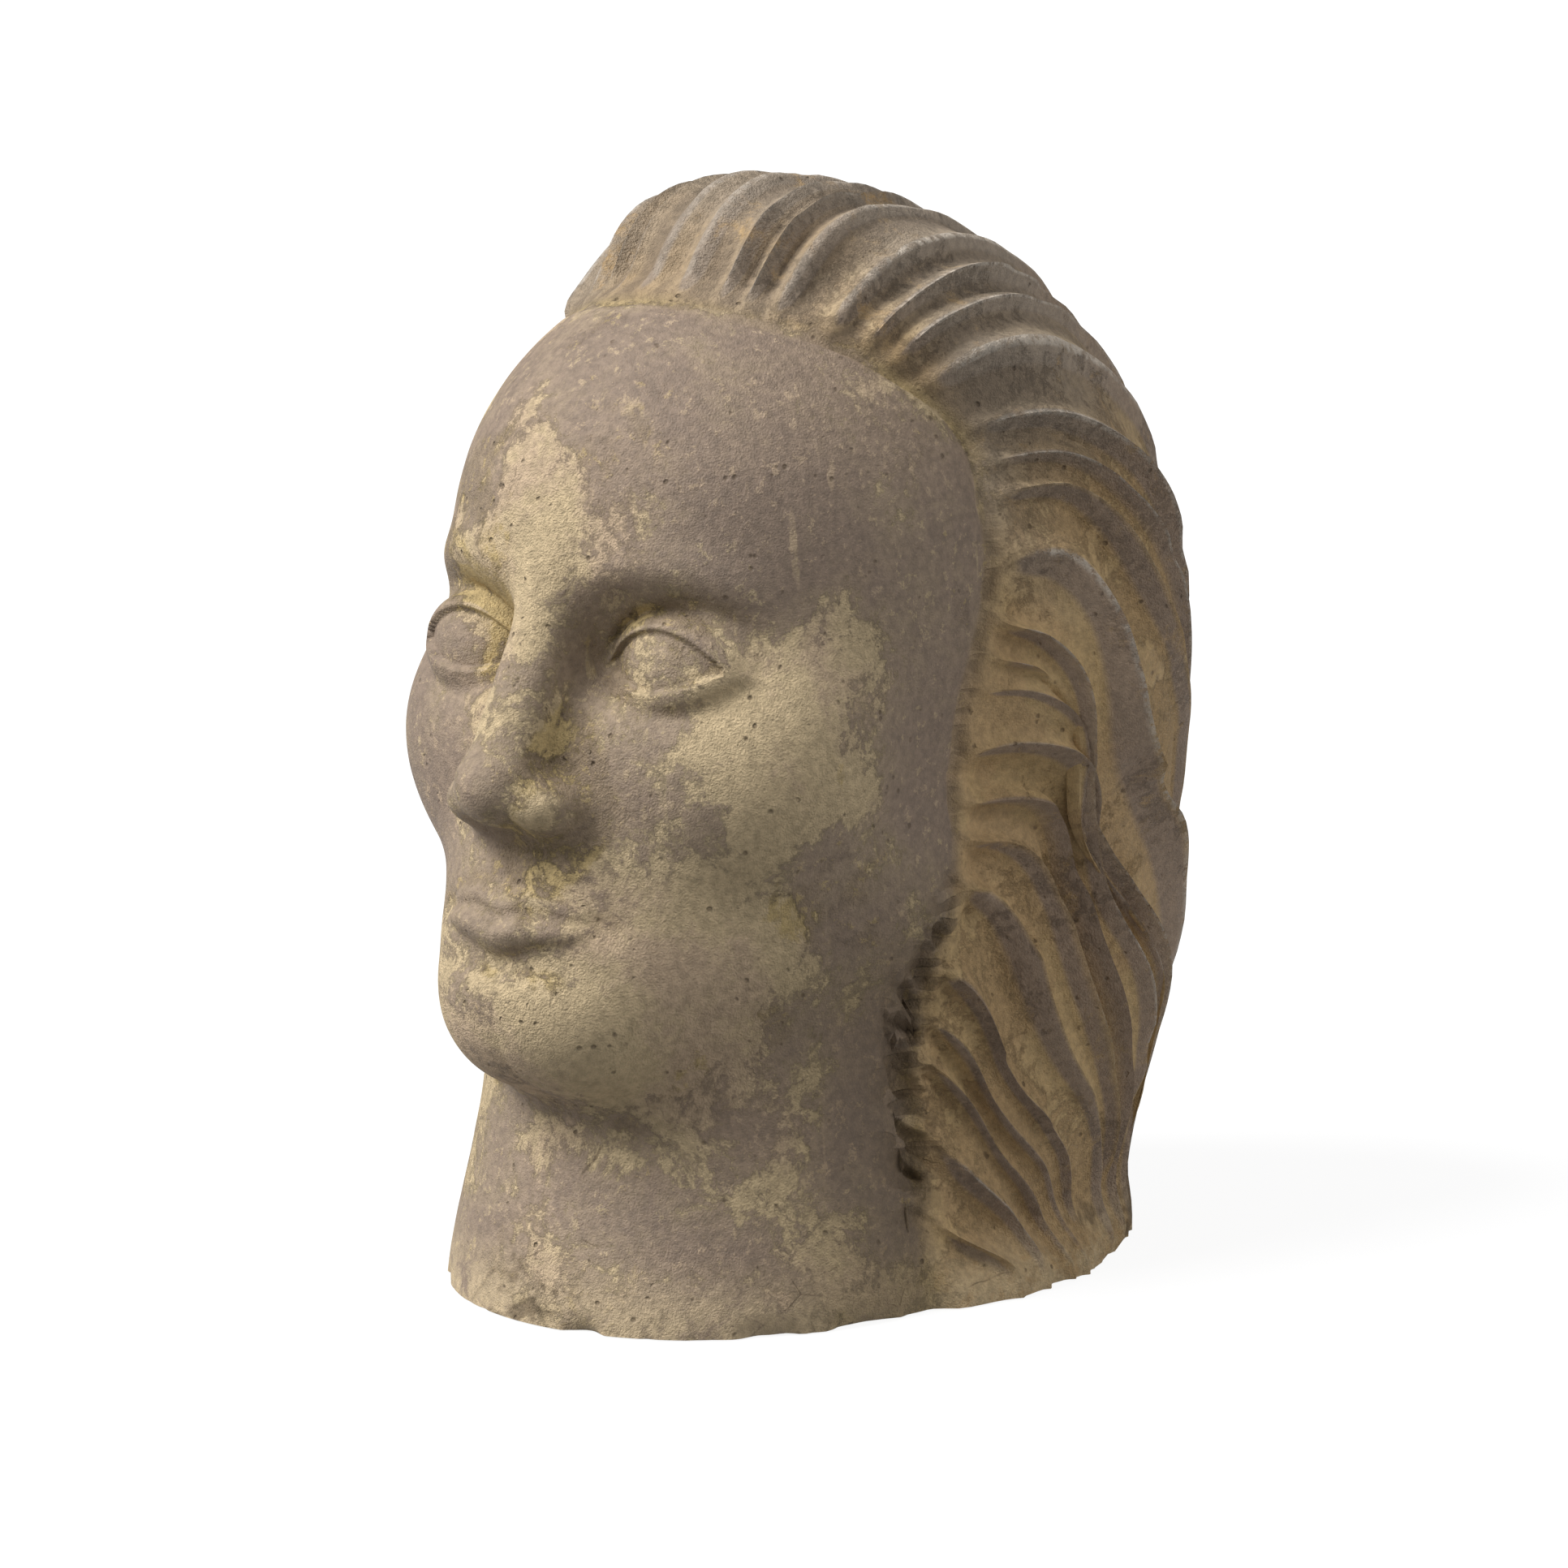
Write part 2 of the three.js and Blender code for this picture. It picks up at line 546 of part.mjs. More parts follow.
// The rows closed over the middle of the face and across the flat underside. The quads of the two
// sides are halved the opposite way, so that the sides mirror each other.
function closedGeometry(rows) {
  const n = rows[0].length;
  const positions = [surfacePoint(rayAt(0, 0), 0), ...rows.flat(), [0, AXIS.y, 0]];
  const underside = positions.length - 1;
  const index = [];
  for (let i = 0; i < n; i += 1) {
    const j = (i + 1) % n;
    const farSide = i < n / 2;
    index.push(0, 1 + i, 1 + j);
    for (let row = 1; row < rows.length; row += 1) {
      const above = 1 + (row - 1) * n;
      const below = above + n;
      if (farSide) index.push(above + i, below + i, above + j, below + i, below + j, above + j);
      else index.push(above + i, below + i, below + j, above + i, below + j, above + j);
    }
    index.push(underside - n + i, underside, underside - n + j);
  }
  const geometry = new THREE.BufferGeometry();
  geometry.setAttribute('position', new THREE.Float32BufferAttribute(positions.flat(), 3));
  geometry.setIndex(index);
  return geometry;
}

async function headGeometry() {
  const places = hairlinePlaces();
  const columns = Array.from({ length: GRID.columns }, (_, index) => makeColumn(places, index));
  const fine = closedGeometry(carvedRows(columns));
  const spare = Math.ceil((fine.index.count / 3 - TRIANGLES) / 2);
  const geometry = await new SimplifyModifier().modify(fine, spare);
  geometry.computeBoundingBox();
  const middle = geometry.boundingBox.getCenter(new THREE.Vector3());
  geometry.translate(-middle.x, -middle.y, -geometry.boundingBox.min.z);
  geometry.computeVertexNormals();
  return geometry;
}

const group = new THREE.Group();
const femaleHead = new THREE.Mesh(await headGeometry(), new THREE.MeshStandardMaterial(CLAY));
femaleHead.name = 'female_head';
group.add(femaleHead);

export default group;
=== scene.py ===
"""A life-size woman's head in fired clay: its finely carved surface, its clay and a plain stage.

The surface is where one signed function, head(), is zero. Rays from an upright axis inside the head
find it, one for each place of a grid whose columns start in the middle of the face, meet the hairline
and then follow the locks of hair down to the underside. Shapes are worked out in millimetres.
"""
from math import radians
from types import SimpleNamespace as Sizes

import bpy
import numpy as np
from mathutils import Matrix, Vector


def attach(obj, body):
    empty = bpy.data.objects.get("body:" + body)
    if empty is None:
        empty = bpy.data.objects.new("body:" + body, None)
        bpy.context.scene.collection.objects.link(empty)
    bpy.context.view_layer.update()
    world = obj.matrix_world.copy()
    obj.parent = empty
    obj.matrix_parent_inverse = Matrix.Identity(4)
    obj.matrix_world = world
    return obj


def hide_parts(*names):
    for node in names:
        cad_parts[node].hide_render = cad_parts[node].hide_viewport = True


bl_info = {
    "name": "Fired Clay Head",
    "version": (1, 0, 0),
    "blender": (4, 5, 0),
    "location": "3D View > Sidebar > Clay Head",
    "description": "Carves a fired-clay head with combed-back locks over its packed solid",
    "category": "Add Mesh",
}

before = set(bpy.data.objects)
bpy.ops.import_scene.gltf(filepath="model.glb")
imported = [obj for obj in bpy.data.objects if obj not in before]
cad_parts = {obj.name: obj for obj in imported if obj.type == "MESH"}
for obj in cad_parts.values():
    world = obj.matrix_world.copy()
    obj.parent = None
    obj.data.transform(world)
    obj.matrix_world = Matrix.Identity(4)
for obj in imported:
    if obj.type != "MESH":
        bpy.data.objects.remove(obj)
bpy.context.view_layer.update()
MM = 0.001
TINY = 1e-9

# The face frame leans back by LEAN about the middle of the eye line. In it a place is
# (across, forward, up) with the eye line at up = 0 and the chin at up = -110.
LEAN = radians(9)
EYE_LINE = Sizes(y=-14, z=162)

# The skull and the rounded forms added to it: middle, half sizes and the width of the blend.
SKULL = ((0, -2, 20), (73, 90, 92))
FACE_FORMS = (
    ((0, 20, 36), (60, 68, 58), 22),
    ((0, 20, -30), (63, 68, 68), 18),
    ((0, 67, -88), (22, 25, 21), 16),
    ((36, 49, -22), (30, 26, 28), 24),
    ((0, 58, -66), (36, 34, 30), 16),
)
JAW = Sizes(start=(12, 66, -90), end=(50, 8, -58), radii=(19, 20), blend=20)
FACE_FRONT = (30, 62)
BROW = Sizes(up=20.5, out=2.6, height=7, arch=3, arch_across=34, arch_width=16, fall=0.0022,
             begins=(8, 20), ends=(46, 60))
SOCKETS = (Sizes(depth=9.5, across=27, up=4, width=20, height=14),
           Sizes(depth=5, across=15, up=-1, width=7, height=11))
NOSE = Sizes(
    start=(0, 83.5, 20), end=(0, 99.5, -32), radii=(7.2, 9.2), blend=9,
    tip=((0, 98.5, -34.5), (10.2, 12, 9.2), 6), wing=((10.5, 92, -38), (8, 11.5, 7.2), 5),
    nostril=(6.8, 101, -46.5), nostril_width=(2.6, 5, 3.2), nostril_depth=2.6,
)
EYE = Sizes(across=31.5, forward=62, radius=20.5, blend=3, half_width=17.5, upper=9.2, lower=6.4,
            fullness=0.85, corner_rise=0.6, corner_blend=1, lid=2, lid_edge=(-1, 0.9), lid_fades=(-9, -3))
LID_CREASE = Sizes(depth=1.3, above=5.2, width=1.5, ends=(15, 19), begins=(1, 4))
LIPS = Sizes(line=-66, middle_dip=1.3, middle_width=5, side_rise=0.9, side_across=11, side_width=6,
             fall_width=24, half_width=25.5, upper=8.6, upper_power=0.75, lower=10.4, lower_power=0.8,
             least=0.01, upper_out=3.3, bow=1.5, bow_width=4, lower_out=4.02, roll_at=0.3, roll_dip=0.18,
             thin=0.6, front=(60, 80))
LIP_GROOVE = Sizes(depth=2, height=2.3, corner=(0, 0.15))
MOUTH_CORNER = Sizes(depth=1.5, across=26.5, width=3.5, height=4)
CHIN_FOLD = Sizes(depth=2.2, up=-79.5, height=4.5, width=17)
NOSE_FOLD = Sizes(depth=1.1, width=3.2, begins=(-60, -57), ends=(-50, -46))
NECK = Sizes(half_width=63.5, half_depth=69, y=-23.5, flare=8.5, flare_over=(-10, 62), top=150,
             top_blend=20, blend=12)

# The mass of hair, the line where it starts, how it rises out of the skin there, and its locks.
HAIR = Sizes(half_width=78, half_depth=74, y=14, fuller=21.5, deeper=34, forward=2, full_over=(10, 90),
             rim_flare=7.5, rim_forward=4, rim_rounder=0.5, rim_over=(0, 22), square=3, square_over=(0, 70),
             dome_from=160, dome_height=133, crown_forward=26, crown_over=(262, 300), scale=90,
             tuck=6.5, tuck_at=265, tuck_height=26)
HAIRLINE = Sizes(y=-8, ear=(10, (150, 200)), nape=(12, (70, 125)), crown=(34, (222, 262)),
                 peak=(18, (248, 266)))
HAIR_EDGE = Sizes(under=6, rise=7, over=(-6, 3), growth=0.6, rim_growth=0.5, rim_over=(0, 40), blend=12,
                  skin_blend=2.5)
LOCKS = Sizes(per_side=24, closer=1.35, least_share=0.02, first=0.5, far_side_shift=0.5, uneven=0.25,
              uneven_rate=1.7, uneven_over=(0, 2), lean=0.1, skew=0.045, flank=0.14, full_width=14,
              deepest=1.15, merged_deepest=0.8, too_narrow=(1.5, 5.5), fade_in=(-1, 14), sunk=0.8,
              rim_depth=0.5, rim_over=(1, 15), merge=(6, 9.5), split=(21, 32), crest_wear=0.01,
              split_wear=0.006, beat=0.2, beat_rate=2.3, beat_length=33, crown_round=0.95, crown_low=0.5,
              crown_over=(0.52, 0.82))

# The rays, the grid of columns and rows, and how a column sweeps and swings behind the hairline. A point
# on a ray is found by halving a range that reaches FAR from the axis, and then, for the relief, SEARCH
# lock depths each way.
AXIS = Sizes(y=-8, top=196, level=0.46, pivot=80)
TIP = Sizes(behind=0.3, before=0.95, lowness=2.4)
FACE_MIDDLE = 0.56
FAR = 190
HALVINGS = Sizes(line=32, plain=26, relief=18)
SEARCH = 2
GRID = Sizes(columns=600, face_rows=98, hair_rows=68, front_columns=0.3, row_at_front=0.56, row_at_side=0.88,
             row_blend=0.02, turn=radians(3.5), turn_share=0.3)
RIM = Sizes(first=radians(147.5), facet=radians(10), facet_over=(0, 0.05), power=1.25, front_power=6)
HASTE = Sizes(plain=2, crown=(1.3, (0.7, 0.85)), temple=(1, 0.57, 0.075), ear=(0.5, 0.43, 0.06))
KNEE = Sizes(over=(0.27, 0.42), lead=0.035, latest=0.985, at=0.8, power=1.5, blend=0.2)
SWING = Sizes(low=radians(1.2), begins=(0.1, 0.2), ends=(0.5, 0.6), temple=(radians(1.5), 0.62, 0.07),
              over=(0, 0.15), waves=1.7, start=0.325, per_share=1.09)
FAN = Sizes(z=100, start=radians(-58), end=radians(90), samples=600, near=20, far=260, spread=radians(100))

# Marks of the hand and of time: waves in the clay, worn crests, strands on the locks, a band of short
# slanting cuts between neck and hair, a groove along the hairline that is hatched like the band up to
# the temple, and chips at the rim. BESIDE_HAIR is the width over which the skin beside the hair fades
# into plain skin, and OPEN how far out from the surface a place is tested for being hollow. Each noise
# has a seed of its own and repeats after NOISE_CELLS cells. An edge sharper than SHARP stays sharp. A
# scar is a place, its reach across, along and up, and its depth.
SURFACE = Sizes(broad=34, fine=8, fine_share=0.4, on_face=0.45, into_hair=(-4, 6), level_below=6)
CREST_WEAR = Sizes(size=19, over=(0.1, 0.6), depth=0.3)
STRANDS = Sizes(per_lock=2.6, length=17, depth=0.45)
NOTCHES = Sizes(slant=radians(40), across=2.7, along=8, edge=(-0.35, 0.2), depth=2.8, width=8.5,
                from_hair=-1, over=(18, 34), until=(104, 120))
HAIRLINE_GROOVE = Sizes(depth=1.8, behind=1, width=3, size=9, plain=0.6, varies=0.4, over=(105, 125),
                        hatched=0.85, hatched_until=(190, 225))
BESIDE_HAIR = 40
OPEN = 14
RIM_CHIPS = Sizes(size=13, over=(0.05, 1.0), height=7, slab=30, small_share=0.5, smaller=2.5)
SEEDS = Sizes(crest_wear=3, strands=5, broad=11, fine=12, notches=21, chips=31, small_chips=32, groove=41)
NOISE_CELLS = 32
SHARP = radians(70)
SCARS = (
    ((46, 53, 262), (4, 4, 3), 2.4),
    ((44, -11, 274), (4, 3, 3), 1.8),
    ((89, 41, 130), (6, 4, 9), 2.4),
    ((78, 45, 98), (6, 4, 12), 2.4),
    ((58, -23, 244), (5, 5, 1.6), 1.2),
    ((70, -16, 140), (6, 6, 1.6), 1.2),
)

# The clay's noises: cells per metre, detail, roughness, distortion and how far the noise is moved. Those
# of scratches, hatching and combing are drawn out along a direction of their own.
CLOUDS = {
    "ragged": (55, 9, 0.80, 0.35),
    "flecks": (240, 6, 0.78, 0.2, (0.11, 0.53, 0.37)),
    "mottle": (420, 3, 0.7),
    "grain": (1700, 1, 0.6),
    "broad": (14, 1, 0.6, 0.3, (0.6, 0.3, 0.8)),
    "smoky": (11, 3, 0.5, 0.7, (0.02, 0.21, 0.13)),
    "blushing": (17, 2, 0.6, 0.4, (0.31, 0.17, 0.05)),
    "sandy": (21, 3, 0.65, 0.5, (0.07, 0.43, 0.29)),
    "staining": (26, 4, 0.75, 0.4, (0.5, 0.1, 0.3)),
    "cracking": (37, 2, 0.5),
    "pitting": (170, 2, 0.5, 0.0, (0.2, 0.6, 0.1)),
}
SCRATCHED = Sizes(noise=(1.0, 2, 0.5), turn=(0.5, 0.2, 0.7), scale=(150, 150, 9))
SLANTED = Sizes(noise=(1.0, 1, 0.5, 0.6), turn=(radians(-40), 0, 0), scale=(40, 70, 230))
COMBED = (5.5, 4, 0.6, 0.2)
CRACKED = Sizes(per_metre=34.0, wander=0.006, wander_per_metre=40, wander_detail=3.0)
PIT_CELLS = 300.0

# What is added to a noise to make it a patch's: the ragged edge, more smoke beside the hair of the face
# and more sand in hollows. The broad noise makes the height of the dust waver. A patch is a product of
# smooth steps, each from 0 at its first value to 1 at its second. Heights are in metres.
EDGE = Sizes(ragged=0.55, flecks=0.25, lower=-0.40)
ADDED = Sizes(beside_face=0.065, hollow=0.34, broad=0.18)
ON_NECK = (0.135, 0.085)
PATCHES = {
    "smoke": {"smoky": (0.475, 0.515)},
    "thick_smoke": {"smoky": (0.50, 0.66)},
    "blush": {"blushing": (0.42, 0.58)},
    "ochre": {"sandy": (0.45, 0.57)},
    "deposit": {"silted": (0.60, 0.68)},
    "bare": {"flecks": (0.56, 0.62)},
    "scratches": {"scratched": (0.66, 0.72), "ragged": (0.46, 0.56)},
    "strokes": {"slanted": (0.46, 0.52)},
    "cracks": {"cell_borders": (0.010, 0.0), "cracking": (0.60, 0.66), "height": (0.10, 0.045)},
    "pits": {"pit_cells": (0.28, 0.10), "pitting": (0.58, 0.66)},
    # The grey of the steep flanks is partly grey patina and partly painted shade.
    "grey": {"flank": (0.38, 0.66), "ragged": (0.32, 0.46)},
    "dusty": {"wavering_height": (0.305, 0.375), "ragged": (0.30, 0.46)},
    # Painted shade at the bottom of the grooves of the crown, where the crest is low.
    "deep": {"crest": (0.34, 0.05), "height": (0.205, 0.245), "ragged": (0.34, 0.50)},
    # These two make the pale crests: partly rubbed clay and partly a painted highlight.
    "rubbed": {"broad": (0.42, 0.58)},
    "pale": {"crest": (0.76, 0.90), "flecks": (0.42, 0.52), "ragged": (0.38, 0.48)},
    "clean_rim": {"height": (0.022, 0.0), "ragged": (0.38, 0.52)},
    "stains": {"height": (0.032, 0.002), "staining": (0.56, 0.62)},
    "mottled": {"mottle": (0.28, 0.72)},
    "on_skin": {"hair": (0.8, 0.2)},
}

# How much of each patch is seen, the tints that are multiplied in, and what the bump and the roughness
# are made up of. Among the shares are painted light: painted shade on the flanks (partly grey patina), in
# the grooves of the crown and on the side of the neck, and a painted highlight on the crests (partly
# rubbed clay).
SHARE = Sizes(deposit=0.9, thin_smoke=0.78, thick_smoke=0.20, bare=0.65, scratches=0.7, ochre=0.30, grey=0.85,
              dusty=0.85, deep=0.55, least_rubbed=0.3, rubbed=0.7, pale=0.85, clean_rim=0.75, dim_neck=0.9,
              stains=0.7, cut=0.35, hatched=0.7, pits=0.6)
# The tint of the painted shade on the side of the neck beside the hair.
NECK_SHADE_TINT = (0.60, 0.58, 0.52)
MOTTLE = Sizes(dark=(0.78,) * 3, light=(1.16,) * 3)
BUMP = Sizes(grain=0.6, flecks=1.1, ragged=0.8, smoke=0.3, combed=0.45, pits=-1.0, hatched=-1.0,
             distance=0.0012, strength=0.5, sandier=0.4)
ROUGH = Sizes(plain=0.80, mottle=0.14, polish=-0.28, fired_skin=0.8, grey=0.6)
GLOSS = 0.4

# The stage, in metres, and the width of the camera's sensor in millimetres.
STAGE = Sizes(floor_radius=9, corners=96, floor_below=0.0004, backdrop_radius=8.9, segments=48, rings=24,
              light_away=2, sensor=36)


def ramp(x, span):
    """0 below the span, 1 above it and 3t^2 - 2t^3 between, with t the share of the way through."""
    t = np.clip((x - span[0]) / (span[1] - span[0]), 0, 1)
    return t * t * (3 - 2 * t)


def bell(x, width):
    """e to the minus (x / width)^2."""
    return np.exp(-((x / width) ** 2))


def lerp(a, b, t):
    """a where t is 0, b where it is 1, and in a straight line between."""
    return a + (b - a) * t


def smooth_min(a, b, blend):
    """The smaller of two, rounded where they differ by less than the blend."""
    share = np.clip(0.5 + 0.5 * (b - a) / blend, 0, 1)
    return b * (1 - share) + a * share - blend * share * (1 - share)


def smooth_max(a, b, blend):
    """The larger of two, rounded in the same way."""
    return -smooth_min(-a, -b, blend)


def length(v):
    """The square root of the sum of the squares along the last axis."""
    return np.sqrt(np.einsum("...i,...i", v, v))


def ellipsoid(p, middle, half):
    """|q| (|q| - 1) / |q / half|, with q the place from the middle over the half sizes."""
    q = (p - middle) / half
    size = length(q)
    return size * (size - 1) / np.maximum(length(q / half), TINY)


def tapered_bar(p, start, end, radii):
    """The distance to a straight line from start to end, less a radius that changes along it."""
    run = np.subtract(end, start)
    t = np.clip((p - start) @ run / (run @ run), 0, 1)
    return length(p - start - t[..., None] * run) - lerp(radii[0], radii[1], t)


def eye(side, forward, up):
    """A ball under two lids whose edges are arches 1 - s^2, and the depth of the crease above them."""
    s = (side - EYE.across) / EYE.half_width
    arch = 1 - s * s
    corner = EYE.corner_rise * s
    below_upper = EYE.upper * np.sign(arch) * np.abs(arch) ** EYE.fullness + corner - up
    above_lower = up + EYE.lower * arch - corner
    opened = smooth_min(below_upper, above_lower, EYE.corner_blend)
    lid = EYE.lid * (1 - ramp(opened, EYE.lid_edge)) * ramp(opened, EYE.lid_fades)
    ball = np.sqrt((side - EYE.across) ** 2 + (forward - EYE.forward) ** 2 + up * up) - EYE.radius - lid
    reach = (1 - ramp(np.abs(side - EYE.across), LID_CREASE.ends)) * ramp(up, LID_CREASE.begins)
    return ball, LID_CREASE.depth * bell(below_upper + LID_CREASE.above, LID_CREASE.width) * reach


def lips(side, up):
    """How far closed lips stand out: 1 - h^2 over each lip's height h, less the grooves and folds."""
    dip = LIPS.middle_dip * bell(side, LIPS.middle_width) + (side / LIPS.fall_width) ** 2
    line = LIPS.line - dip + LIPS.side_rise * bell(side - LIPS.side_across, LIPS.side_width)
    reach = np.clip(1 - (side / LIPS.half_width) ** 2, 0, 1)
    upper_height = LIPS.upper * reach ** LIPS.upper_power - LIPS.bow * bell(side, LIPS.bow_width)
    above = np.clip((up - line) / (LIPS.least + upper_height), 0, 1)
    below = np.clip((line - up) / (LIPS.least + LIPS.lower * reach ** LIPS.lower_power), 0, 1)
    rolled = (np.maximum(below - LIPS.roll_at, 0) / (1 - LIPS.roll_at)) ** 2
    roll = 1 - rolled - LIPS.roll_dip * (1 - np.minimum(below / LIPS.roll_at, 1)) ** 2
    out = np.where(up > line, LIPS.upper_out * (1 - above ** 2), LIPS.lower_out * roll)
    groove = LIP_GROOVE.depth * bell(up - line, LIP_GROOVE.height) * ramp(reach, LIP_GROOVE.corner)
    corner = MOUTH_CORNER.depth * bell(side - MOUTH_CORNER.across, MOUTH_CORNER.width)
    corner = corner * bell(up - line, MOUTH_CORNER.height)
    chin = CHIN_FOLD.depth * bell(up - CHIN_FOLD.up, CHIN_FOLD.height) * bell(side, CHIN_FOLD.width)
    nose = NOSE_FOLD.depth * bell(side, NOSE_FOLD.width)
    nose = nose * ramp(up, NOSE_FOLD.begins) * (1 - ramp(up, NOSE_FOLD.ends))
    return out * reach ** LIPS.thin - groove - corner - chin - nose


def brow_and_sockets(side, up):
    """The hollows round the eye, bells across and up, less the arched ridge of the brow."""
    fall = BROW.fall * np.maximum(side - BROW.arch_across, 0) ** 2
    line = BROW.up + BROW.arch * bell(side - BROW.arch_across, BROW.arch_width) - fall
    brow = BROW.out * bell(up - line, BROW.height) * ramp(side, BROW.begins) * (1 - ramp(side, BROW.ends))
    return sum(s.depth * bell(side - s.across, s.width) * bell(up - s.up, s.height) for s in SOCKETS) - brow


def face(across, forward, up):
    """Below 0 inside the face: its rounded forms, jaw, brow, nose, eyes and lips, blended in turn."""
    side = np.abs(across)
    p = np.stack([side, forward, up], -1)
    front = ramp(forward, FACE_FRONT)
    form = ellipsoid(p, *SKULL)
    for middle, half, blend in FACE_FORMS:
        form = smooth_min(form, ellipsoid(p, middle, half), blend)
    form = smooth_min(form, tapered_bar(p, JAW.start, JAW.end, JAW.radii), JAW.blend)
    form = form + front * brow_and_sockets(side, up)

    nose = tapered_bar(p, NOSE.start, NOSE.end, NOSE.radii)
    for middle, half, blend in (NOSE.tip, NOSE.wing):
        nose = smooth_min(nose, ellipsoid(p, middle, half), blend)
    nostril = np.exp(-(((p - NOSE.nostril) / NOSE.nostril_width) ** 2).sum(-1))
    form = smooth_min(form, nose, NOSE.blend) + NOSE.nostril_depth * nostril

    ball, crease = eye(side, forward, up)
    form = smooth_min(form, ball, EYE.blend) + front * crease
    return form - ramp(forward, LIPS.front) * lips(side, up)


def skin(x, y, z):
    """Below 0 inside the bare skin: the face leant back, on an oval neck that flares downward."""
    dy, dz = y - EYE_LINE.y, z - EYE_LINE.z
    forward = -dy * np.cos(LEAN) + dz * np.sin(LEAN)
    up = dy * np.sin(LEAN) + dz * np.cos(LEAN)
    flare = NECK.flare * (1 - ramp(z, NECK.flare_over))
    middle = NECK.y - flare / 2
    round_neck = np.hypot(x / (NECK.half_width + flare), (y - middle) / (NECK.half_depth + flare))
    neck = smooth_max((round_neck - 1) * NECK.half_width, z - NECK.top, NECK.top_blend)
    return smooth_min(face(x, forward, up), neck, NECK.blend)


def hair_mass(x, y, z):
    """Below 0 inside the hair: an upright oval, squarer and flared at the rim, with a dome over it."""
    full, rim = ramp(z, HAIR.full_over), 1 - ramp(z, HAIR.rim_over)
    out = HAIR.rim_flare * rim - HAIR.tuck * bell(z - HAIR.tuck_at, HAIR.tuck_height)
    half_width = HAIR.half_width + HAIR.fuller * full + out
    half_depth = HAIR.half_depth + HAIR.deeper * full + out
    forward = HAIR.forward * full + HAIR.rim_forward * rim + HAIR.crown_forward * ramp(z, HAIR.crown_over)
    power = HAIR.square - ramp(z, HAIR.square_over) - HAIR.rim_rounder * rim
    across = np.abs(x / half_width) ** power + np.abs((y - HAIR.y + forward) / half_depth) ** power
    dome = np.maximum(z - HAIR.dome_from, 0) / HAIR.dome_height
    return (np.sqrt(across ** (2 / power) + dome ** 2) - 1) * HAIR.scale


def hairline_y(z):
    """How far back the hair starts at each height: ramps added to one plain distance."""
    y = HAIRLINE.y
    for forward, over in (HAIRLINE.ear, HAIRLINE.nape):
        y = y - forward * (1 - ramp(z, over))
    for forward, over in (HAIRLINE.crown, HAIRLINE.peak):
        y = y - forward * ramp(z, over)
    return y


def head(x, y, z, relief):
    """Below 0 inside the head: the skin joined with the hair, which the relief pushes outward."""
    bare = skin(x, y, z)
    back = y - hairline_y(z)
    growth = HAIR_EDGE.growth + HAIR_EDGE.rim_growth * (1 - ramp(z, HAIR_EDGE.rim_over))
    thickness = HAIR_EDGE.rise * ramp(back, HAIR_EDGE.over) - HAIR_EDGE.under + growth * np.maximum(back, 0)
    hair = smooth_max(hair_mass(x, y, z), bare - thickness, HAIR_EDGE.blend) - relief
    return smooth_min(bare, hair, HAIR_EDGE.skin_blend)


def tip(azimuth, t):
    """How strongly the rays tip down: most before the face, as sin^2 of the way down."""
    strength = TIP.behind + TIP.before * ramp(np.cos(azimuth), (0, 1))
    return strength * np.sin(np.pi * t ** TIP.lowness) ** 2


def rays_at(angle, radius):
    """Starts and directions of the rays for places on the unit disc.

    The face's middle is at the disc's centre and the underside at its rim. The map
    (w + m) / (1 + m w) of the complex place w gives azimuth and reach.
    """
    w = radius * np.exp(1j * angle)
    w = (w + FACE_MIDDLE) / (1 + FACE_MIDDLE * w)
    azimuth, reach = np.angle(w), np.minimum(np.abs(w), 1)
    t = np.clip((reach - AXIS.level) / (1 - AXIS.level), 0, 1)
    slope = tip(azimuth, t)
    rise = np.where(reach < AXIS.level, np.pi / 2 * (1 - reach / AXIS.level), -np.arctan(slope))
    none = np.zeros_like(reach)
    start = np.stack([none, none + AXIS.y, AXIS.top * (1 - t) + slope * AXIS.pivot], -1)
    level = np.cos(rise)
    return start, np.stack([level * np.sin(azimuth), -level * np.cos(azimuth), np.sin(rise)], -1)


def disc_places(p):
    """The other way round: the complex place on the disc of each point on the surface."""
    azimuth = np.arctan2(p[:, 0], -(p[:, 1] - AXIS.y))
    out = np.hypot(p[:, 0], p[:, 1] - AXIS.y)
    rise = np.arctan2(p[:, 2] - AXIS.top, out)
    low, high = np.zeros(len(p)), np.ones(len(p))
    for _ in range(HALVINGS.line):
        t = (low + high) / 2
        above = AXIS.top * (1 - t) + tip(azimuth, t) * (AXIS.pivot - out) > p[:, 2]
        low, high = np.where(above, t, low), np.where(above, high, t)
    reach = np.where(rise >= 0, AXIS.level * (1 - rise / (np.pi / 2)), lerp(AXIS.level, 1, low))
    w = reach * np.exp(1j * azimuth)
    return (w - FACE_MIDDLE) / (1 - FACE_MIDDLE * w)


def halve(inside, low, high, times):
    """The border between where inside() is true and where it is false, by halving each range."""
    for _ in range(times):
        middle = (low + high) / 2
        held = inside(middle)
        low, high = np.where(held, middle, low), np.where(held, high, middle)
    return low


def surface_points(start, direction, relief, low, high, times):
    """The last point inside the head along each ray, between two distances from its start."""
    def inside(way):
        p = start + direction * way[..., None]
        return head(p[..., 0], p[..., 1], p[..., 2], relief) < 0

    way = halve(inside, low, high, times)
    return start + direction * way[..., None], way


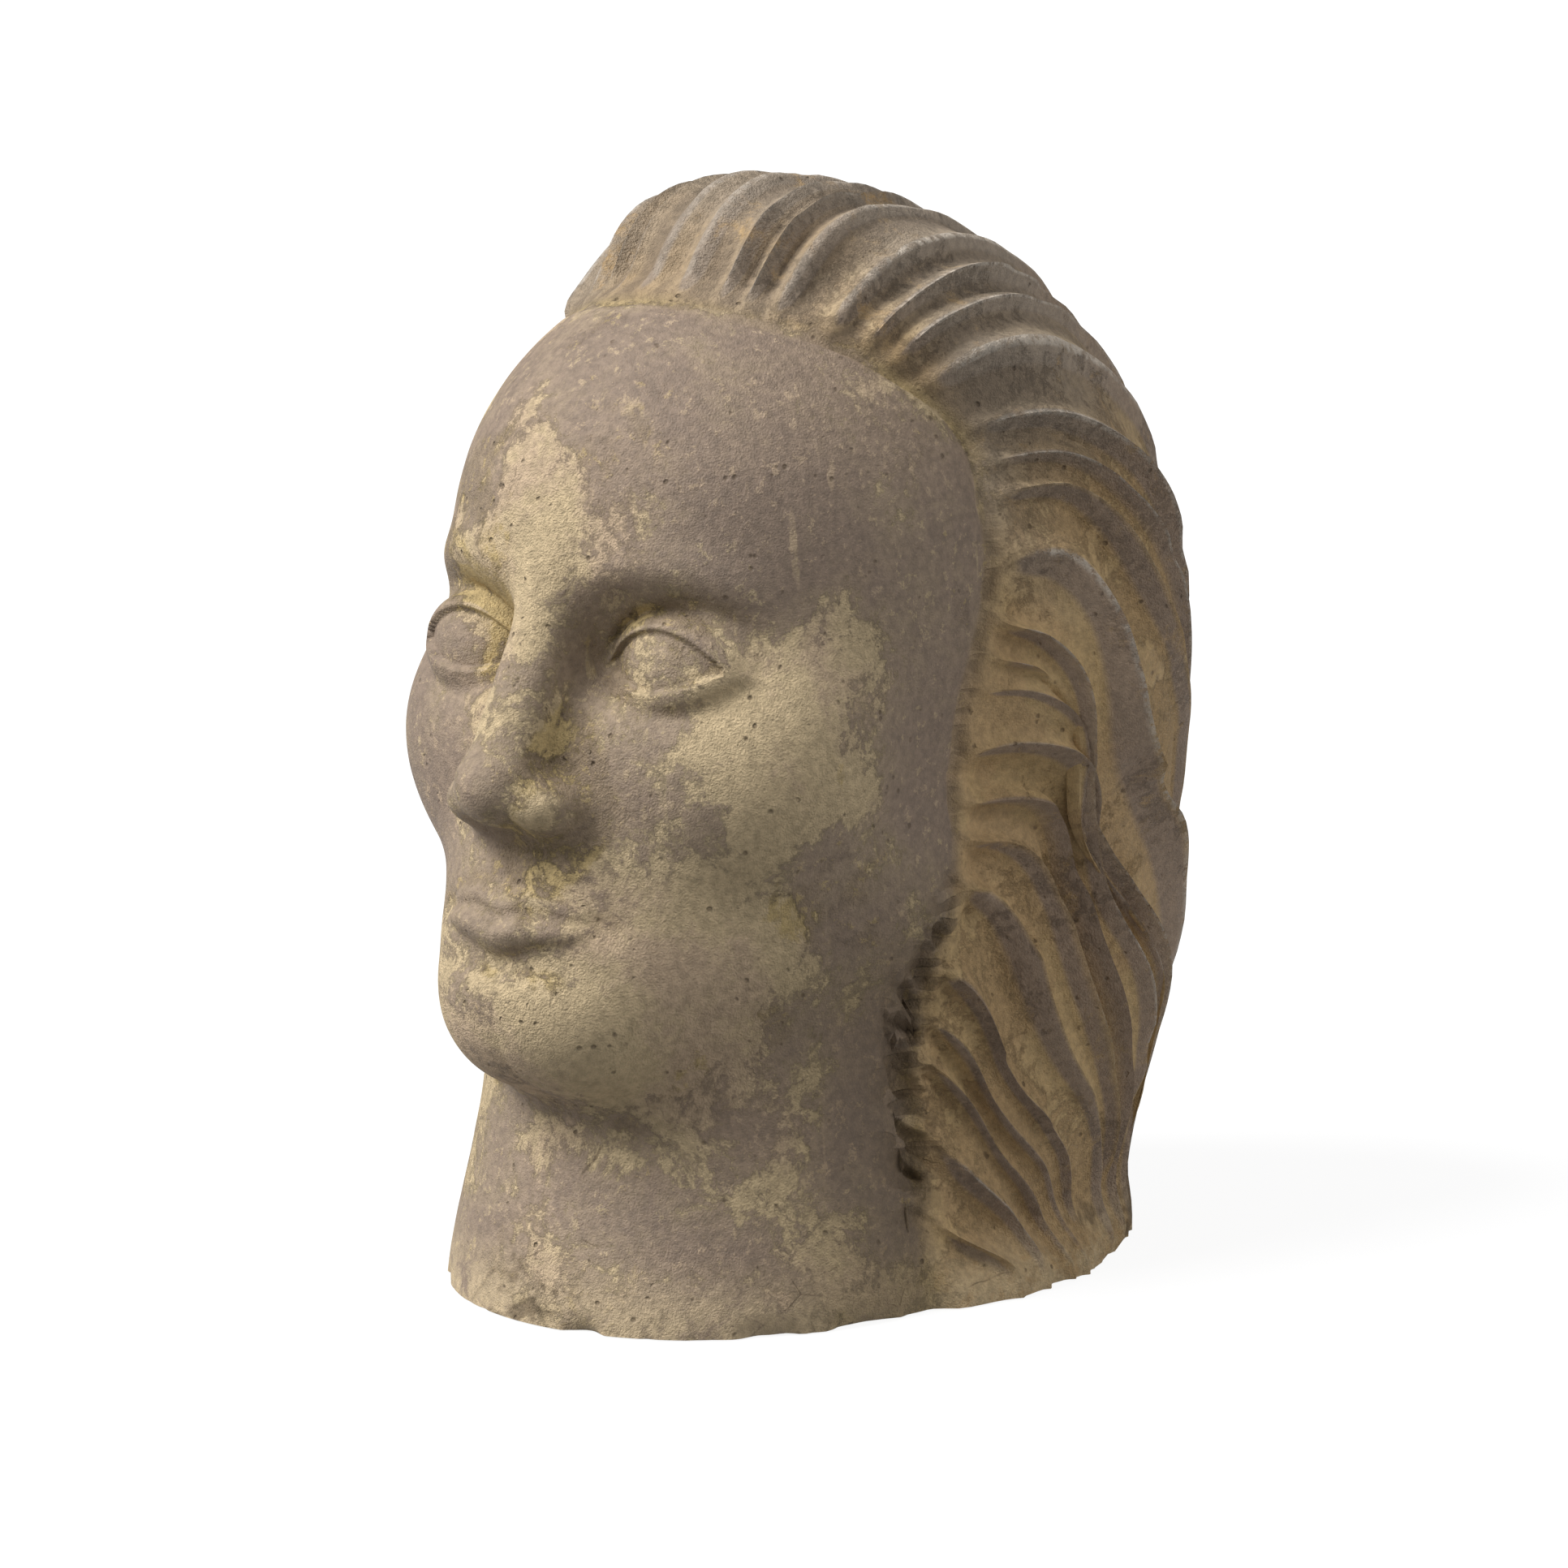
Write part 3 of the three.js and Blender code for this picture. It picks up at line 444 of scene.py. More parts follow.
def hairline_places():
    """Angle, radius and share of the length of the hairline, from the underside to the forehead."""
    fan = np.linspace(FAN.start, FAN.end, FAN.samples + 1)

    def inside(way):
        z = FAN.z + way * np.sin(fan)
        return skin(way * np.cos(fan), hairline_y(z), z) < 0

    way = halve(inside, np.full_like(fan, FAN.near), np.full_like(fan, FAN.far), HALVINGS.line)
    z = FAN.z + way * np.sin(fan)
    p = np.stack([way * np.cos(fan), hairline_y(z), z], -1)[z > 0]
    run = np.concatenate([[0], np.cumsum(length(np.diff(p, axis=0)))])
    w = disc_places(p)
    return np.angle(w), np.abs(w), run / run[-1]


def make_columns():
    """Each column's side, lock, share of the hairline, and its places where it starts, meets the
    hairline row and ends. Columns stand closer together where there is hair."""
    around = 2 * np.arange(GRID.columns) / GRID.columns - 1
    hairy = np.abs(around) >= GRID.front_columns
    share = np.clip((np.abs(around) - GRID.front_columns) / (1 - GRID.front_columns), 0, 1)
    front = np.minimum(np.abs(around) / GRID.front_columns, 1)
    angles, radii, shares = hairline_places()
    first = angles[0] - GRID.turn
    turn = GRID.turn * np.maximum(1 - share / GRID.turn_share, 0) ** 2
    radius = np.interp(share, shares, radii)
    at_side = smooth_min(radius, GRID.row_at_side, GRID.row_blend)
    at_front = lerp(GRID.row_at_front, GRID.row_at_side, front ** 2)
    lock = LOCKS.per_side * share ** LOCKS.closer + LOCKS.first
    low = np.where(hairy, 1 - ramp(share, KNEE.over), 0)
    facet = RIM.facet * (1 - ramp(share, RIM.facet_over))
    end = np.pi - (np.pi - RIM.first) * (1 - share) ** RIM.power - facet
    haste = HASTE.plain + HASTE.crown[0] * ramp(share, HASTE.crown[1])
    haste = haste - HASTE.temple[0] * bell(share - HASTE.temple[1], HASTE.temple[2])
    haste = haste + HASTE.ear[0] * bell(share - HASTE.ear[1], HASTE.ear[2])
    swing = SWING.low * ramp(share, SWING.begins) * (1 - ramp(share, SWING.ends))
    swing = swing + SWING.temple[0] * bell(share - SWING.temple[1], SWING.temple[2])
    return Sizes(
        side=np.where(around < 0, -1, 1),
        hairy=hairy,
        lock=lock + np.where(around < 0, LOCKS.far_side_shift * (1 - share), 0),
        share=share,
        low=low,
        start=np.where(hairy, lerp(FAN.spread, np.pi, share), FAN.spread * front),
        hairline=np.where(hairy, np.interp(share, shares, angles) - turn, first * front),
        row=np.where(hairy, at_side, at_front),
        leaves=np.where(hairy, np.minimum(radius, KNEE.latest) - KNEE.lead * low, at_front),
        end=np.where(hairy, end, first * front + (RIM.first - RIM.facet - first) * front ** RIM.front_power),
        haste=np.where(hairy, haste, HASTE.plain),
        swing=np.where(hairy, swing, 0),
    )


def swept(columns, radius):
    """The angle of each column at a radius, from the hairline's to the rim's by a share of the way.

    The share is 1 - (1 - x)^haste for the upper locks, and for the low ones the smaller of 1 and
    (x / knee)^power, which is steep, then slanting, then upright below the knee. A sine wave swings it.
    """
    x = np.clip((radius - columns.leaves) / (1 - columns.leaves), 0, 1)
    upper = 1 - (1 - x) ** columns.haste
    lower = smooth_min((x / KNEE.at) ** KNEE.power, 1, KNEE.blend)
    wave = np.sin(2 * np.pi * (SWING.waves * x + SWING.start + SWING.per_share * columns.share))
    angle = lerp(columns.hairline, columns.end, lerp(upper, lower, columns.low))
    return angle + columns.swing * ramp(x, SWING.over) * wave


def grid_places(columns):
    """Angle and radius of every row of the grid: the angle goes by s^2 from the middle of the face
    to the hairline row, and then as swept() says."""
    s = (np.arange(1, GRID.face_rows + 1) / GRID.face_rows)[:, None]
    t = (np.arange(1, GRID.hair_rows + 1) / GRID.hair_rows)[:, None]
    outer_radius = lerp(columns.row, 1, t)
    inner = lerp(columns.start, swept(columns, columns.row), s * s)
    radius = np.concatenate([columns.row * s, outer_radius])
    return columns.side * np.concatenate([inner, swept(columns, outer_radius)]), radius


def noise(p, size, seed):
    """Random numbers from -1 to 1 at the corners of cubes of this size, blended by 3t^2 - 2t^3."""
    table = np.random.default_rng(seed).uniform(-1, 1, (NOISE_CELLS,) * 3)
    cell = np.floor(p / size).astype(int)
    t = p / size - cell
    t = t * t * (3 - 2 * t)
    total = 0
    for corner in np.ndindex(2, 2, 2):
        i, j, k = np.moveaxis((cell + corner) % NOISE_CELLS, -1, 0)
        total = total + table[i, j, k] * np.where(corner, t, 1 - t).prod(-1)
    return total


def ridge(phase, wear, roundness):
    """1 at each whole phase and near 0 half way: from 1 - |sin|, sharp, to 1 - sin^2, round."""
    wave = np.sin(np.pi * phase) ** 2
    return 1 - lerp(np.sqrt(wave + wear), wave, roundness)


def lock_width(columns, p):
    """How wide a lock is at each point: the way from column to column over the locks per column."""
    per_column = 2 * LOCKS.per_side / (GRID.columns * (1 - GRID.front_columns))
    share = np.maximum(columns.share, LOCKS.least_share)
    per_column = per_column * LOCKS.closer * share ** (LOCKS.closer - 1)
    return length(np.roll(p, -1, 1) - np.roll(p, 1, 1)) / 2 / per_column


def lock_relief(columns, p, run, depth):
    """How far each lock stands out of the hair, its crest and its flank as shares from 0 to 1, and the
    place across and along the locks.

    The profile is a ridge for each lock, for each two where they are narrow, or two where it is wide,
    steeper on the side toward the neck. It is as deep as the lock is wide, but lower and rounder on the
    crown. It fades in behind the hairline, beats along the lock, and its crests are worn in patches.
    """
    width = lock_width(columns, p)
    crown = ramp(columns.share, LOCKS.crown_over)
    lock = columns.lock
    lock = lock + LOCKS.uneven * np.sin(LOCKS.uneven_rate * lock) * ramp(lock, LOCKS.uneven_over)
    turn = 2 * np.pi * lock
    phase = lock + LOCKS.lean * np.sin(turn) - LOCKS.skew * (1 - np.cos(turn))

    def profile_at(phase):
        merged = ridge(phase / 2, LOCKS.crest_wear, LOCKS.crown_round * crown)
        single = ridge(phase, LOCKS.crest_wear, LOCKS.crown_round * crown)
        double = ridge(2 * phase, LOCKS.split_wear, LOCKS.crown_round * crown)
        return lerp(merged, lerp(single, double, ramp(width, LOCKS.split)), ramp(width, LOCKS.merge))

    profile, flank = profile_at(phase), profile_at(phase + LOCKS.flank)
    worn = CREST_WEAR.depth * ramp(noise(p, CREST_WEAR.size, SEEDS.crest_wear), CREST_WEAR.over)
    back = p[..., 1] - hairline_y(p[..., 2])
    fade = ramp(np.minimum(run, back), LOCKS.fade_in)
    fade = fade * lerp(LOCKS.rim_depth, 1, ramp(p[..., 2], LOCKS.rim_over))
    beat = 1 + LOCKS.beat * np.sin(LOCKS.beat_rate * lock + run / LOCKS.beat_length)
    merged = np.minimum(2 * width / LOCKS.full_width, LOCKS.merged_deepest)
    across = lerp(merged, width / LOCKS.full_width, ramp(width, LOCKS.merge))
    deep = depth * (1 - LOCKS.crown_low * crown) * np.minimum(across, LOCKS.deepest)
    deep = deep * ramp(width, LOCKS.too_narrow)
    flow = np.stack([lock * STRANDS.per_lock + 0 * run, run / STRANDS.length, 0 * run], -1)
    strands = STRANDS.depth * noise(flow, 1, SEEDS.strands) * fade
    relief = deep * fade * beat * (profile * (1 - worn) - LOCKS.sunk) + strands
    shares = [np.where(columns.hairy, each * fade, 0) for each in (profile, flank)]
    return np.where(columns.hairy, relief, 0), *shares, flow


def grid_normals(p):
    """The outward direction at each point: the cross product of the steps along rows and columns."""
    normal = np.cross(np.roll(p, -1, 1) - np.roll(p, 1, 1), np.gradient(p, axis=0))
    normal = normal / np.maximum(length(normal), TINY)[..., None]
    outward = (normal * (p - np.array([0, AXIS.y, AXIS.top / 2]))).sum(-1)
    return normal * np.sign(np.median(outward))


def notched_band(p, back):
    """The band between neck and hair, a bell across it from one height to another, and the cuts in it,
    where a noise drawn out along slanting strokes is high."""
    up = p[..., 2]
    band = bell(back - NOTCHES.from_hair, NOTCHES.width) * ramp(up, NOTCHES.over)
    band = band * (1 - ramp(up, NOTCHES.until))
    turned = np.cos(NOTCHES.slant), np.sin(NOTCHES.slant)
    across = (up * turned[0] + back * turned[1]) / NOTCHES.across
    along = (back * turned[0] - up * turned[1]) / NOTCHES.along
    strokes = noise(np.stack([across, along, np.sign(p[..., 0])], -1), 1, SEEDS.notches)
    return band, band * ramp(strokes, NOTCHES.edge)


def marks(p, columns, run, unevenness):
    """How far the surface moves in along its normal: waves of hand-worked clay, notches, the groove of
    the hairline and scars. With it come the shares from 0 to 1 that the clay reads of them."""
    back = p[..., 1] - hairline_y(p[..., 2])
    hair = np.where(columns.hairy, ramp(np.minimum(run, back), SURFACE.into_hair), 0)
    waves = noise(p, SURFACE.broad, SEEDS.broad) + SURFACE.fine_share * noise(p, SURFACE.fine, SEEDS.fine)
    band, cut = notched_band(p, back)
    cut = cut * columns.hairy

    groove = bell(run - HAIRLINE_GROOVE.behind, HAIRLINE_GROOVE.width)
    groove = groove * ramp(p[..., 2], HAIRLINE_GROOVE.over)
    uneven = HAIRLINE_GROOVE.varies * noise(p, HAIRLINE_GROOVE.size, SEEDS.groove)
    groove = groove * (HAIRLINE_GROOVE.plain + uneven) * columns.hairy
    hatched = HAIRLINE_GROOVE.hatched * groove * (1 - ramp(p[..., 2], HAIRLINE_GROOVE.hatched_until))

    sunk = unevenness * waves * lerp(SURFACE.on_face, 1, hair)
    sunk = sunk + NOTCHES.depth * cut + HAIRLINE_GROOVE.depth * groove
    for place, reach, depth in SCARS:
        sunk = sunk + depth * np.exp(-(((p - place) / reach) ** 2).sum(-1))
    beside = bell(np.minimum(back, 0), BESIDE_HAIR) * (1 - hair)
    band = np.maximum(band, hatched)
    return sunk, Sizes(hair=hair, cut=cut, groove=groove, band=band, beside_hair=beside)


def chipped_rim(p, depth):
    """Points near the underside moved inward where a noise is high, by (1 - height / chip height)^2."""
    slab = p * (1, 1, 1 / RIM_CHIPS.slab * RIM_CHIPS.size)
    small = noise(slab, RIM_CHIPS.size / RIM_CHIPS.smaller, SEEDS.small_chips)
    broken = noise(slab, RIM_CHIPS.size, SEEDS.chips) + RIM_CHIPS.small_share * small
    low = np.clip(1 - p[..., 2] / RIM_CHIPS.height, 0, 1) ** 2
    inward = -(p - np.array([0, AXIS.y, 0])) * (1, 1, 0)
    inward = inward / np.maximum(length(inward), TINY)[..., None]
    return p + inward * (depth * ramp(broken, RIM_CHIPS.over) * low)[..., None]


def openness(p, normal, reach):
    """The share of a step out along the normal that still leads away from the head's plain form."""
    outside = p + normal * reach
    return np.clip(head(outside[..., 0], outside[..., 1], outside[..., 2], 0) / reach, 0, 1)


def carve(lock_depth, unevenness, chip_depth):
    """The whole carved surface: points in metres, triangles, and what the clay reads at each point,
    which is shares from 0 to 1 and the place across and along the locks."""
    columns = make_columns()
    start, direction = rays_at(*grid_places(columns))
    flat = np.zeros(start.shape[:2])
    plain, way = surface_points(start, direction, 0, flat, flat + FAR, HALVINGS.plain)
    run = np.cumsum(length(np.diff(plain, axis=0, prepend=plain[:1])), axis=0)
    run = run - run[GRID.face_rows - 1]
    shift = -(plain[..., 1].min() + plain[..., 1].max()) / 2

    relief, crest, flank, flow = lock_relief(columns, plain, run, lock_depth)
    near = SEARCH * lock_depth
    p, _ = surface_points(start, direction, relief, way - near, way + near, HALVINGS.relief)
    normal = grid_normals(p)
    sunk, marked = marks(p, columns, run, unevenness)
    step = normal * sunk[..., None]
    step[..., 2] *= ramp(p[..., 2], (0, SURFACE.level_below))
    p = chipped_rim(p - step, chip_depth)
    hollow = np.maximum(1 - openness(p, normal, OPEN), (1 - crest) * marked.hair)

    pole_start, pole_direction = rays_at(np.zeros(1), np.zeros(1))
    pole, _ = surface_points(pole_start, pole_direction, 0, np.zeros(1), np.zeros(1) + FAR, HALVINGS.plain)
    points = np.concatenate([pole, p.reshape(-1, 3), [[0, AXIS.y, 0]]]) + (0, shift, 0)
    read = {
        "hollow": np.maximum(hollow, marked.groove),
        "crest": crest,
        "flank": flank,
        "hair": marked.hair,
        "cut": marked.cut,
        "band": marked.band,
        "beside_hair": marked.beside_hair,
        "flow_across": flow[..., 0],
        "flow_along": flow[..., 1],
    }
    per_point = {name: np.pad(values.ravel(), 1).astype(np.float32) for name, values in read.items()}
    return points * MM, triangles(*p.shape[:2]), per_point


def triangles(rows, count):
    """Two triangles for each step of row and column, closed by fans over the face and underside.
    The two sides are halved the opposite way, so that they mirror each other."""
    i = np.arange(count)
    j = (i + 1) % count
    above = 1 + np.arange(rows - 1)[:, None] * count
    below = above + count
    a, b, c, d = (each.ravel() for each in (above + i, below + i, below + j, above + j))
    far_side = np.tile(i < count / 2, rows - 1)
    first = np.stack([a, b, np.where(far_side, d, c)], 1)
    second = np.stack([np.where(far_side, b, a), c, d], 1)
    last = 1 + (rows - 1) * count
    centre = np.full(count, last + count)
    top = np.stack([0 * i, 1 + i, 1 + j], 1)
    return np.concatenate([top, first, second, np.stack([last + i, centre, last + j], 1)])


def make_mesh(name, points, faces):
    """A mesh object of triangles at the origin, smooth but for edges sharper than SHARP."""
    mesh = bpy.data.meshes.new(name)
    mesh.vertices.add(len(points))
    mesh.vertices.foreach_set("co", points.astype(np.float32).ravel())
    mesh.loops.add(faces.size)
    mesh.loops.foreach_set("vertex_index", faces.astype(np.int32).ravel())
    mesh.polygons.add(len(faces))
    mesh.polygons.foreach_set("loop_start", np.arange(0, faces.size, 3, dtype=np.int32))
    mesh.update(calc_edges=True)
    mesh.polygons.foreach_set("use_smooth", np.ones(len(faces), bool))
    mesh.set_sharp_from_angle(angle=SHARP)
    made = bpy.data.objects.new(name, mesh)
    bpy.context.scene.collection.objects.link(made)
    return made


class ClayNodes:
    """The node tree of the clay, with a short method for each kind of node that it needs."""

    def __init__(self, tree):
        self.tree = tree
        self.place = self.add("ShaderNodeTexCoord", {}).outputs["Object"]

    def add(self, kind, inputs, **settings):
        """A node of this kind with each input set to a value or joined to another node's socket."""
        node = self.tree.nodes.new(kind)
        for key, value in settings.items():
            setattr(node, key, value)
        for key, value in inputs.items():
            if isinstance(value, bpy.types.NodeSocket):
                self.tree.links.new(value, node.inputs[key])
            else:
                node.inputs[key].default_value = value
        return node

    def attribute(self, name):
        return self.add("ShaderNodeAttribute", {}, attribute_name=name).outputs["Fac"]

    def mapped(self, **change):
        """The place moved, turned or stretched."""
        return self.add("ShaderNodeMapping", {"Vector": self.place, **change}).outputs["Vector"]

    def cloud(self, scale, detail, rough, distortion=0.0, moved=None, vector=None):
        if vector is None:
            vector = self.mapped(Location=moved) if moved else self.place
        sizes = {"Scale": scale, "Detail": detail, "Roughness": rough, "Distortion": distortion}
        return self.add("ShaderNodeTexNoise", {"Vector": vector, **sizes}).outputs["Fac"]

    def calc(self, operation, a, b=0.0, c=0.0):
        return self.add("ShaderNodeMath", {0: a, 1: b, 2: c}, operation=operation).outputs[0]

    def plus(self, rest, value, scale):
        """The rest plus the value times the scale."""
        return self.calc("MULTIPLY_ADD", value, scale, rest)

    def most(self, a, b):
        return self.calc("MAXIMUM", a, b)

    def opposite(self, value):
        return self.calc("SUBTRACT", 1.0, value)

    def product(self, *values):
        total = values[0]
        for value in values[1:]:
            total = self.calc("MULTIPLY", total, value)
        return total

    def step(self, value, first, last):
        """Smoothly from 0 at first to 1 at last, whichever of the two is higher."""
        sizes = {"Value": value, "From Min": min(first, last), "From Max": max(first, last)}
        rising = self.add("ShaderNodeMapRange", sizes, interpolation_type="SMOOTHSTEP").outputs["Result"]
        return rising if first < last else self.opposite(rising)

    def mixed(self, share, a, b, blend="MIX"):
        """Colour a where the share is 0 and b, or a blended with b, where it is 1."""
        a, b = (each if isinstance(each, bpy.types.NodeSocket) else (*each, 1) for each in (a, b))
        inputs = {0: share, 6: a, 7: b}
        return self.add("ShaderNodeMix", inputs, data_type="RGBA", blend_type=blend).outputs[2]


def cell_borders(nodes):
    """How far each place is from the border of its cell, in cells that a noise makes wander."""
    wander = {"Vector": nodes.place, "Scale": CRACKED.wander_per_metre, "Detail": CRACKED.wander_detail}
    wander = nodes.add("ShaderNodeTexNoise", wander).outputs["Color"]
    place = {0: CRACKED.wander, 4: nodes.place, 5: wander}
    place = nodes.add("ShaderNodeMix", place, data_type="VECTOR").outputs[1]
    cells = {"Vector": place, "Scale": CRACKED.per_metre}
    return nodes.add("ShaderNodeTexVoronoi", cells, feature="DISTANCE_TO_EDGE").outputs["Distance"]


def clay_values(nodes):
    """What colour, polish and bump are made of: values held by the mesh, noises, patches, and the thin
    skin from the fire, which is the smoke less what is worn bare or scratched."""
    held = "hollow", "crest", "flank", "hair", "cut", "band", "beside_hair"
    clay = Sizes(**{name: nodes.attribute(name) for name in held})
    clay.height = nodes.add("ShaderNodeSeparateXYZ", {"Vector": nodes.place}).outputs["Z"]
    for name, sizes in CLOUDS.items():
        setattr(clay, name, nodes.cloud(*sizes))
    for name, drawn in (("scratched", SCRATCHED), ("slanted", SLANTED)):
        vector = nodes.mapped(Rotation=drawn.turn, Scale=drawn.scale)
        setattr(clay, name, nodes.cloud(*drawn.noise, vector=vector))
    clay.cell_borders = cell_borders(nodes)
    cells = {"Vector": nodes.place, "Scale": PIT_CELLS, "Randomness": 1.0}
    clay.pit_cells = nodes.add("ShaderNodeTexVoronoi", cells).outputs["Distance"]

    edge = nodes.plus(nodes.plus(EDGE.lower, clay.flecks, EDGE.flecks), clay.ragged, EDGE.ragged)
    for name in ("smoky", "blushing", "sandy"):
        setattr(clay, name, nodes.calc("ADD", getattr(clay, name), edge))
    clay.on_neck = nodes.step(clay.height, *ON_NECK)
    beside_face = nodes.product(clay.beside_hair, nodes.opposite(clay.on_neck))
    clay.smoky = nodes.plus(clay.smoky, beside_face, ADDED.beside_face)
    clay.silted = nodes.plus(clay.sandy, clay.hollow, ADDED.hollow)
    clay.wavering_height = nodes.plus(clay.height, clay.broad, ADDED.broad)

    for name, steps in PATCHES.items():
        made = (nodes.step(getattr(clay, source), *span) for source, span in steps.items())
        setattr(clay, name, nodes.product(*made))
    clay.hatched = nodes.product(clay.band, clay.strokes)
    # The pale crests, partly rubbed clay and partly a painted highlight, vary in broad patches.
    clay.pale = nodes.product(clay.pale, nodes.plus(SHARE.least_rubbed, clay.rubbed, SHARE.rubbed))
    worn = nodes.most(nodes.product(clay.bare, SHARE.bare), nodes.product(clay.scratches, SHARE.scratches))
    thickness = nodes.plus(SHARE.thin_smoke, clay.thick_smoke, SHARE.thick_smoke)
    clay.fired_skin = nodes.product(clay.smoke, thickness, nodes.opposite(worn))
    return clay


def layered(nodes, clay, under, layers):
    """Each layer's colour over those below it, by its patch times its share."""
    for name, colour in layers:
        share = nodes.product(getattr(clay, name), getattr(SHARE, name))
        under = nodes.mixed(share, under, colour)
    return under


def clay_colour(nodes, clay, colours):
    """Skin and locks, joined by the share of hair, with the marks of the rim, cuts and pits and painted
    shade on the side of the neck.

    The skin is buff and blush with sandy ochre in its hollows, under the thin skin from the fire. The
    locks are olive in their channels, with grey flanks that are partly grey patina and partly painted
    shade, dust on the crown, painted shade deep in its grooves, and pale crests that are partly rubbed clay
    and partly a painted highlight.
    """
    skin = nodes.mixed(clay.blush, colours.buff, colours.blush)
    skin = layered(nodes, clay, skin, [("deposit", colours.ochre)])
    skin = nodes.mixed(clay.fired_skin, skin, colours.smoke)
    channel = nodes.mixed(clay.ochre, colours.channel, colours.ochre)
    channel = nodes.mixed(nodes.product(clay.smoke, SHARE.ochre), colours.channel, channel)
    # Over the channels: grey flanks, partly patina and partly painted shade; dust; painted shade deep in the
    # grooves; and pale crests, partly rubbed clay and partly a painted highlight.
    coats = ("grey", colours.flank), ("dusty", colours.dust), ("deep", colours.shade), ("pale", colours.crest)
    surface = nodes.mixed(clay.hair, skin, layered(nodes, clay, channel, coats))

    surface = layered(nodes, clay, surface, [("clean_rim", colours.buff)])
    # Painted shade: the side of the neck beside the hair is multiplied darker.
    neck_shade = nodes.product(clay.beside_hair, clay.on_neck, SHARE.dim_neck)
    surface = nodes.mixed(neck_shade, surface, NECK_SHADE_TINT, "MULTIPLY")
    surface = layered(nodes, clay, surface, [("stains", colours.stain)])
    dark = nodes.most(nodes.product(clay.cut, SHARE.cut), nodes.product(clay.hatched, SHARE.hatched))
    surface = nodes.mixed(dark, surface, colours.stain)
    surface = nodes.mixed(1.0, surface, nodes.mixed(clay.mottled, MOTTLE.dark, MOTTLE.light), "MULTIPLY")
    return nodes.mixed(nodes.product(nodes.most(clay.pits, clay.cracks), SHARE.pits), surface, colours.stain)


def clay_roughness(nodes, clay):
    """Matte and finely mottled, a little polished on the fire's skin and on the crests and flanks."""
    rubbed = nodes.product(nodes.most(clay.pale, nodes.product(clay.grey, ROUGH.grey)), clay.hair)
    polish = nodes.most(nodes.product(clay.fired_skin, ROUGH.fired_skin), rubbed)
    return nodes.plus(nodes.plus(ROUGH.plain, clay.mottle, ROUGH.mottle), polish, ROUGH.polish)


def clay_bump(nodes, clay):
    """Grain, flecks, ragged patches and lines combed along the locks, less pits and hatching. It is
    stronger where the clay is bare or sandy."""
    flow = {"X": nodes.attribute("flow_across"), "Y": nodes.attribute("flow_along")}
    flow = nodes.add("ShaderNodeCombineXYZ", flow).outputs["Vector"]
    clay.combed = nodes.product(nodes.cloud(*COMBED, vector=flow), clay.hair)
    relief = nodes.plus(nodes.product(clay.flecks, BUMP.flecks), clay.grain, BUMP.grain)
    for name in ("ragged", "smoke", "combed", "pits", "hatched"):
        relief = nodes.plus(relief, getattr(clay, name), getattr(BUMP, name))
    sandy = nodes.most(nodes.product(clay.deposit, clay.on_skin), nodes.opposite(clay.fired_skin))
    strength = nodes.plus(BUMP.strength, sandy, BUMP.sandier)
    sizes = {"Strength": strength, "Distance": BUMP.distance, "Height": relief}
    return nodes.add("ShaderNodeBump", sizes).outputs["Normal"]


def clay_material(colours):
    """Fired clay whose patches have ragged edges, worked out from the place and the carving alone."""
    material = bpy.data.materials.new("fired_clay_surface")
    material.use_nodes = True
    shader = material.node_tree.nodes["Principled BSDF"]
    nodes = ClayNodes(material.node_tree)
    clay = clay_values(nodes)
    for name, made in (
        ("Base Color", clay_colour(nodes, clay, colours)),
        ("Roughness", clay_roughness(nodes, clay)),
        ("Normal", clay_bump(nodes, clay)),
    ):
        nodes.tree.links.new(made, shader.inputs[name])
    shader.inputs["Specular IOR Level"].default_value = GLOSS
    return material


def plain_material(name, colour, glow):
    """One matte colour that also glows a little, so that its shadows stay pale."""
    material = bpy.data.materials.new(name)
    material.use_nodes = True
    shader = material.node_tree.nodes["Principled BSDF"]
    shader.inputs["Base Color"].default_value = (*colour, 1)
    shader.inputs["Roughness"].default_value = 1.0
    shader.inputs["Specular IOR Level"].default_value = 0.0
    shader.inputs["Emission Color"].default_value = (1, 1, 1, 1)
    shader.inputs["Emission Strength"].default_value = glow
    material.cycles.emission_sampling = "NONE"
    return material


def length_property(name, description, default):
    return bpy.props.FloatProperty(name=name, description=description, default=default, min=0.0,
                                   unit="LENGTH")


def angle_property(name, description, degrees):
    return bpy.props.FloatProperty(name=name, description=description, default=radians(degrees),
                                   subtype="ANGLE")


def strength_property(name, description, default):
    return bpy.props.FloatProperty(name=name, description=description, default=default, min=0.0)


def colour_property(name, description, default):
    return bpy.props.FloatVectorProperty(name=name, description=description, default=default, size=3,
                                         min=0.0, max=1.0, subtype="COLOR")


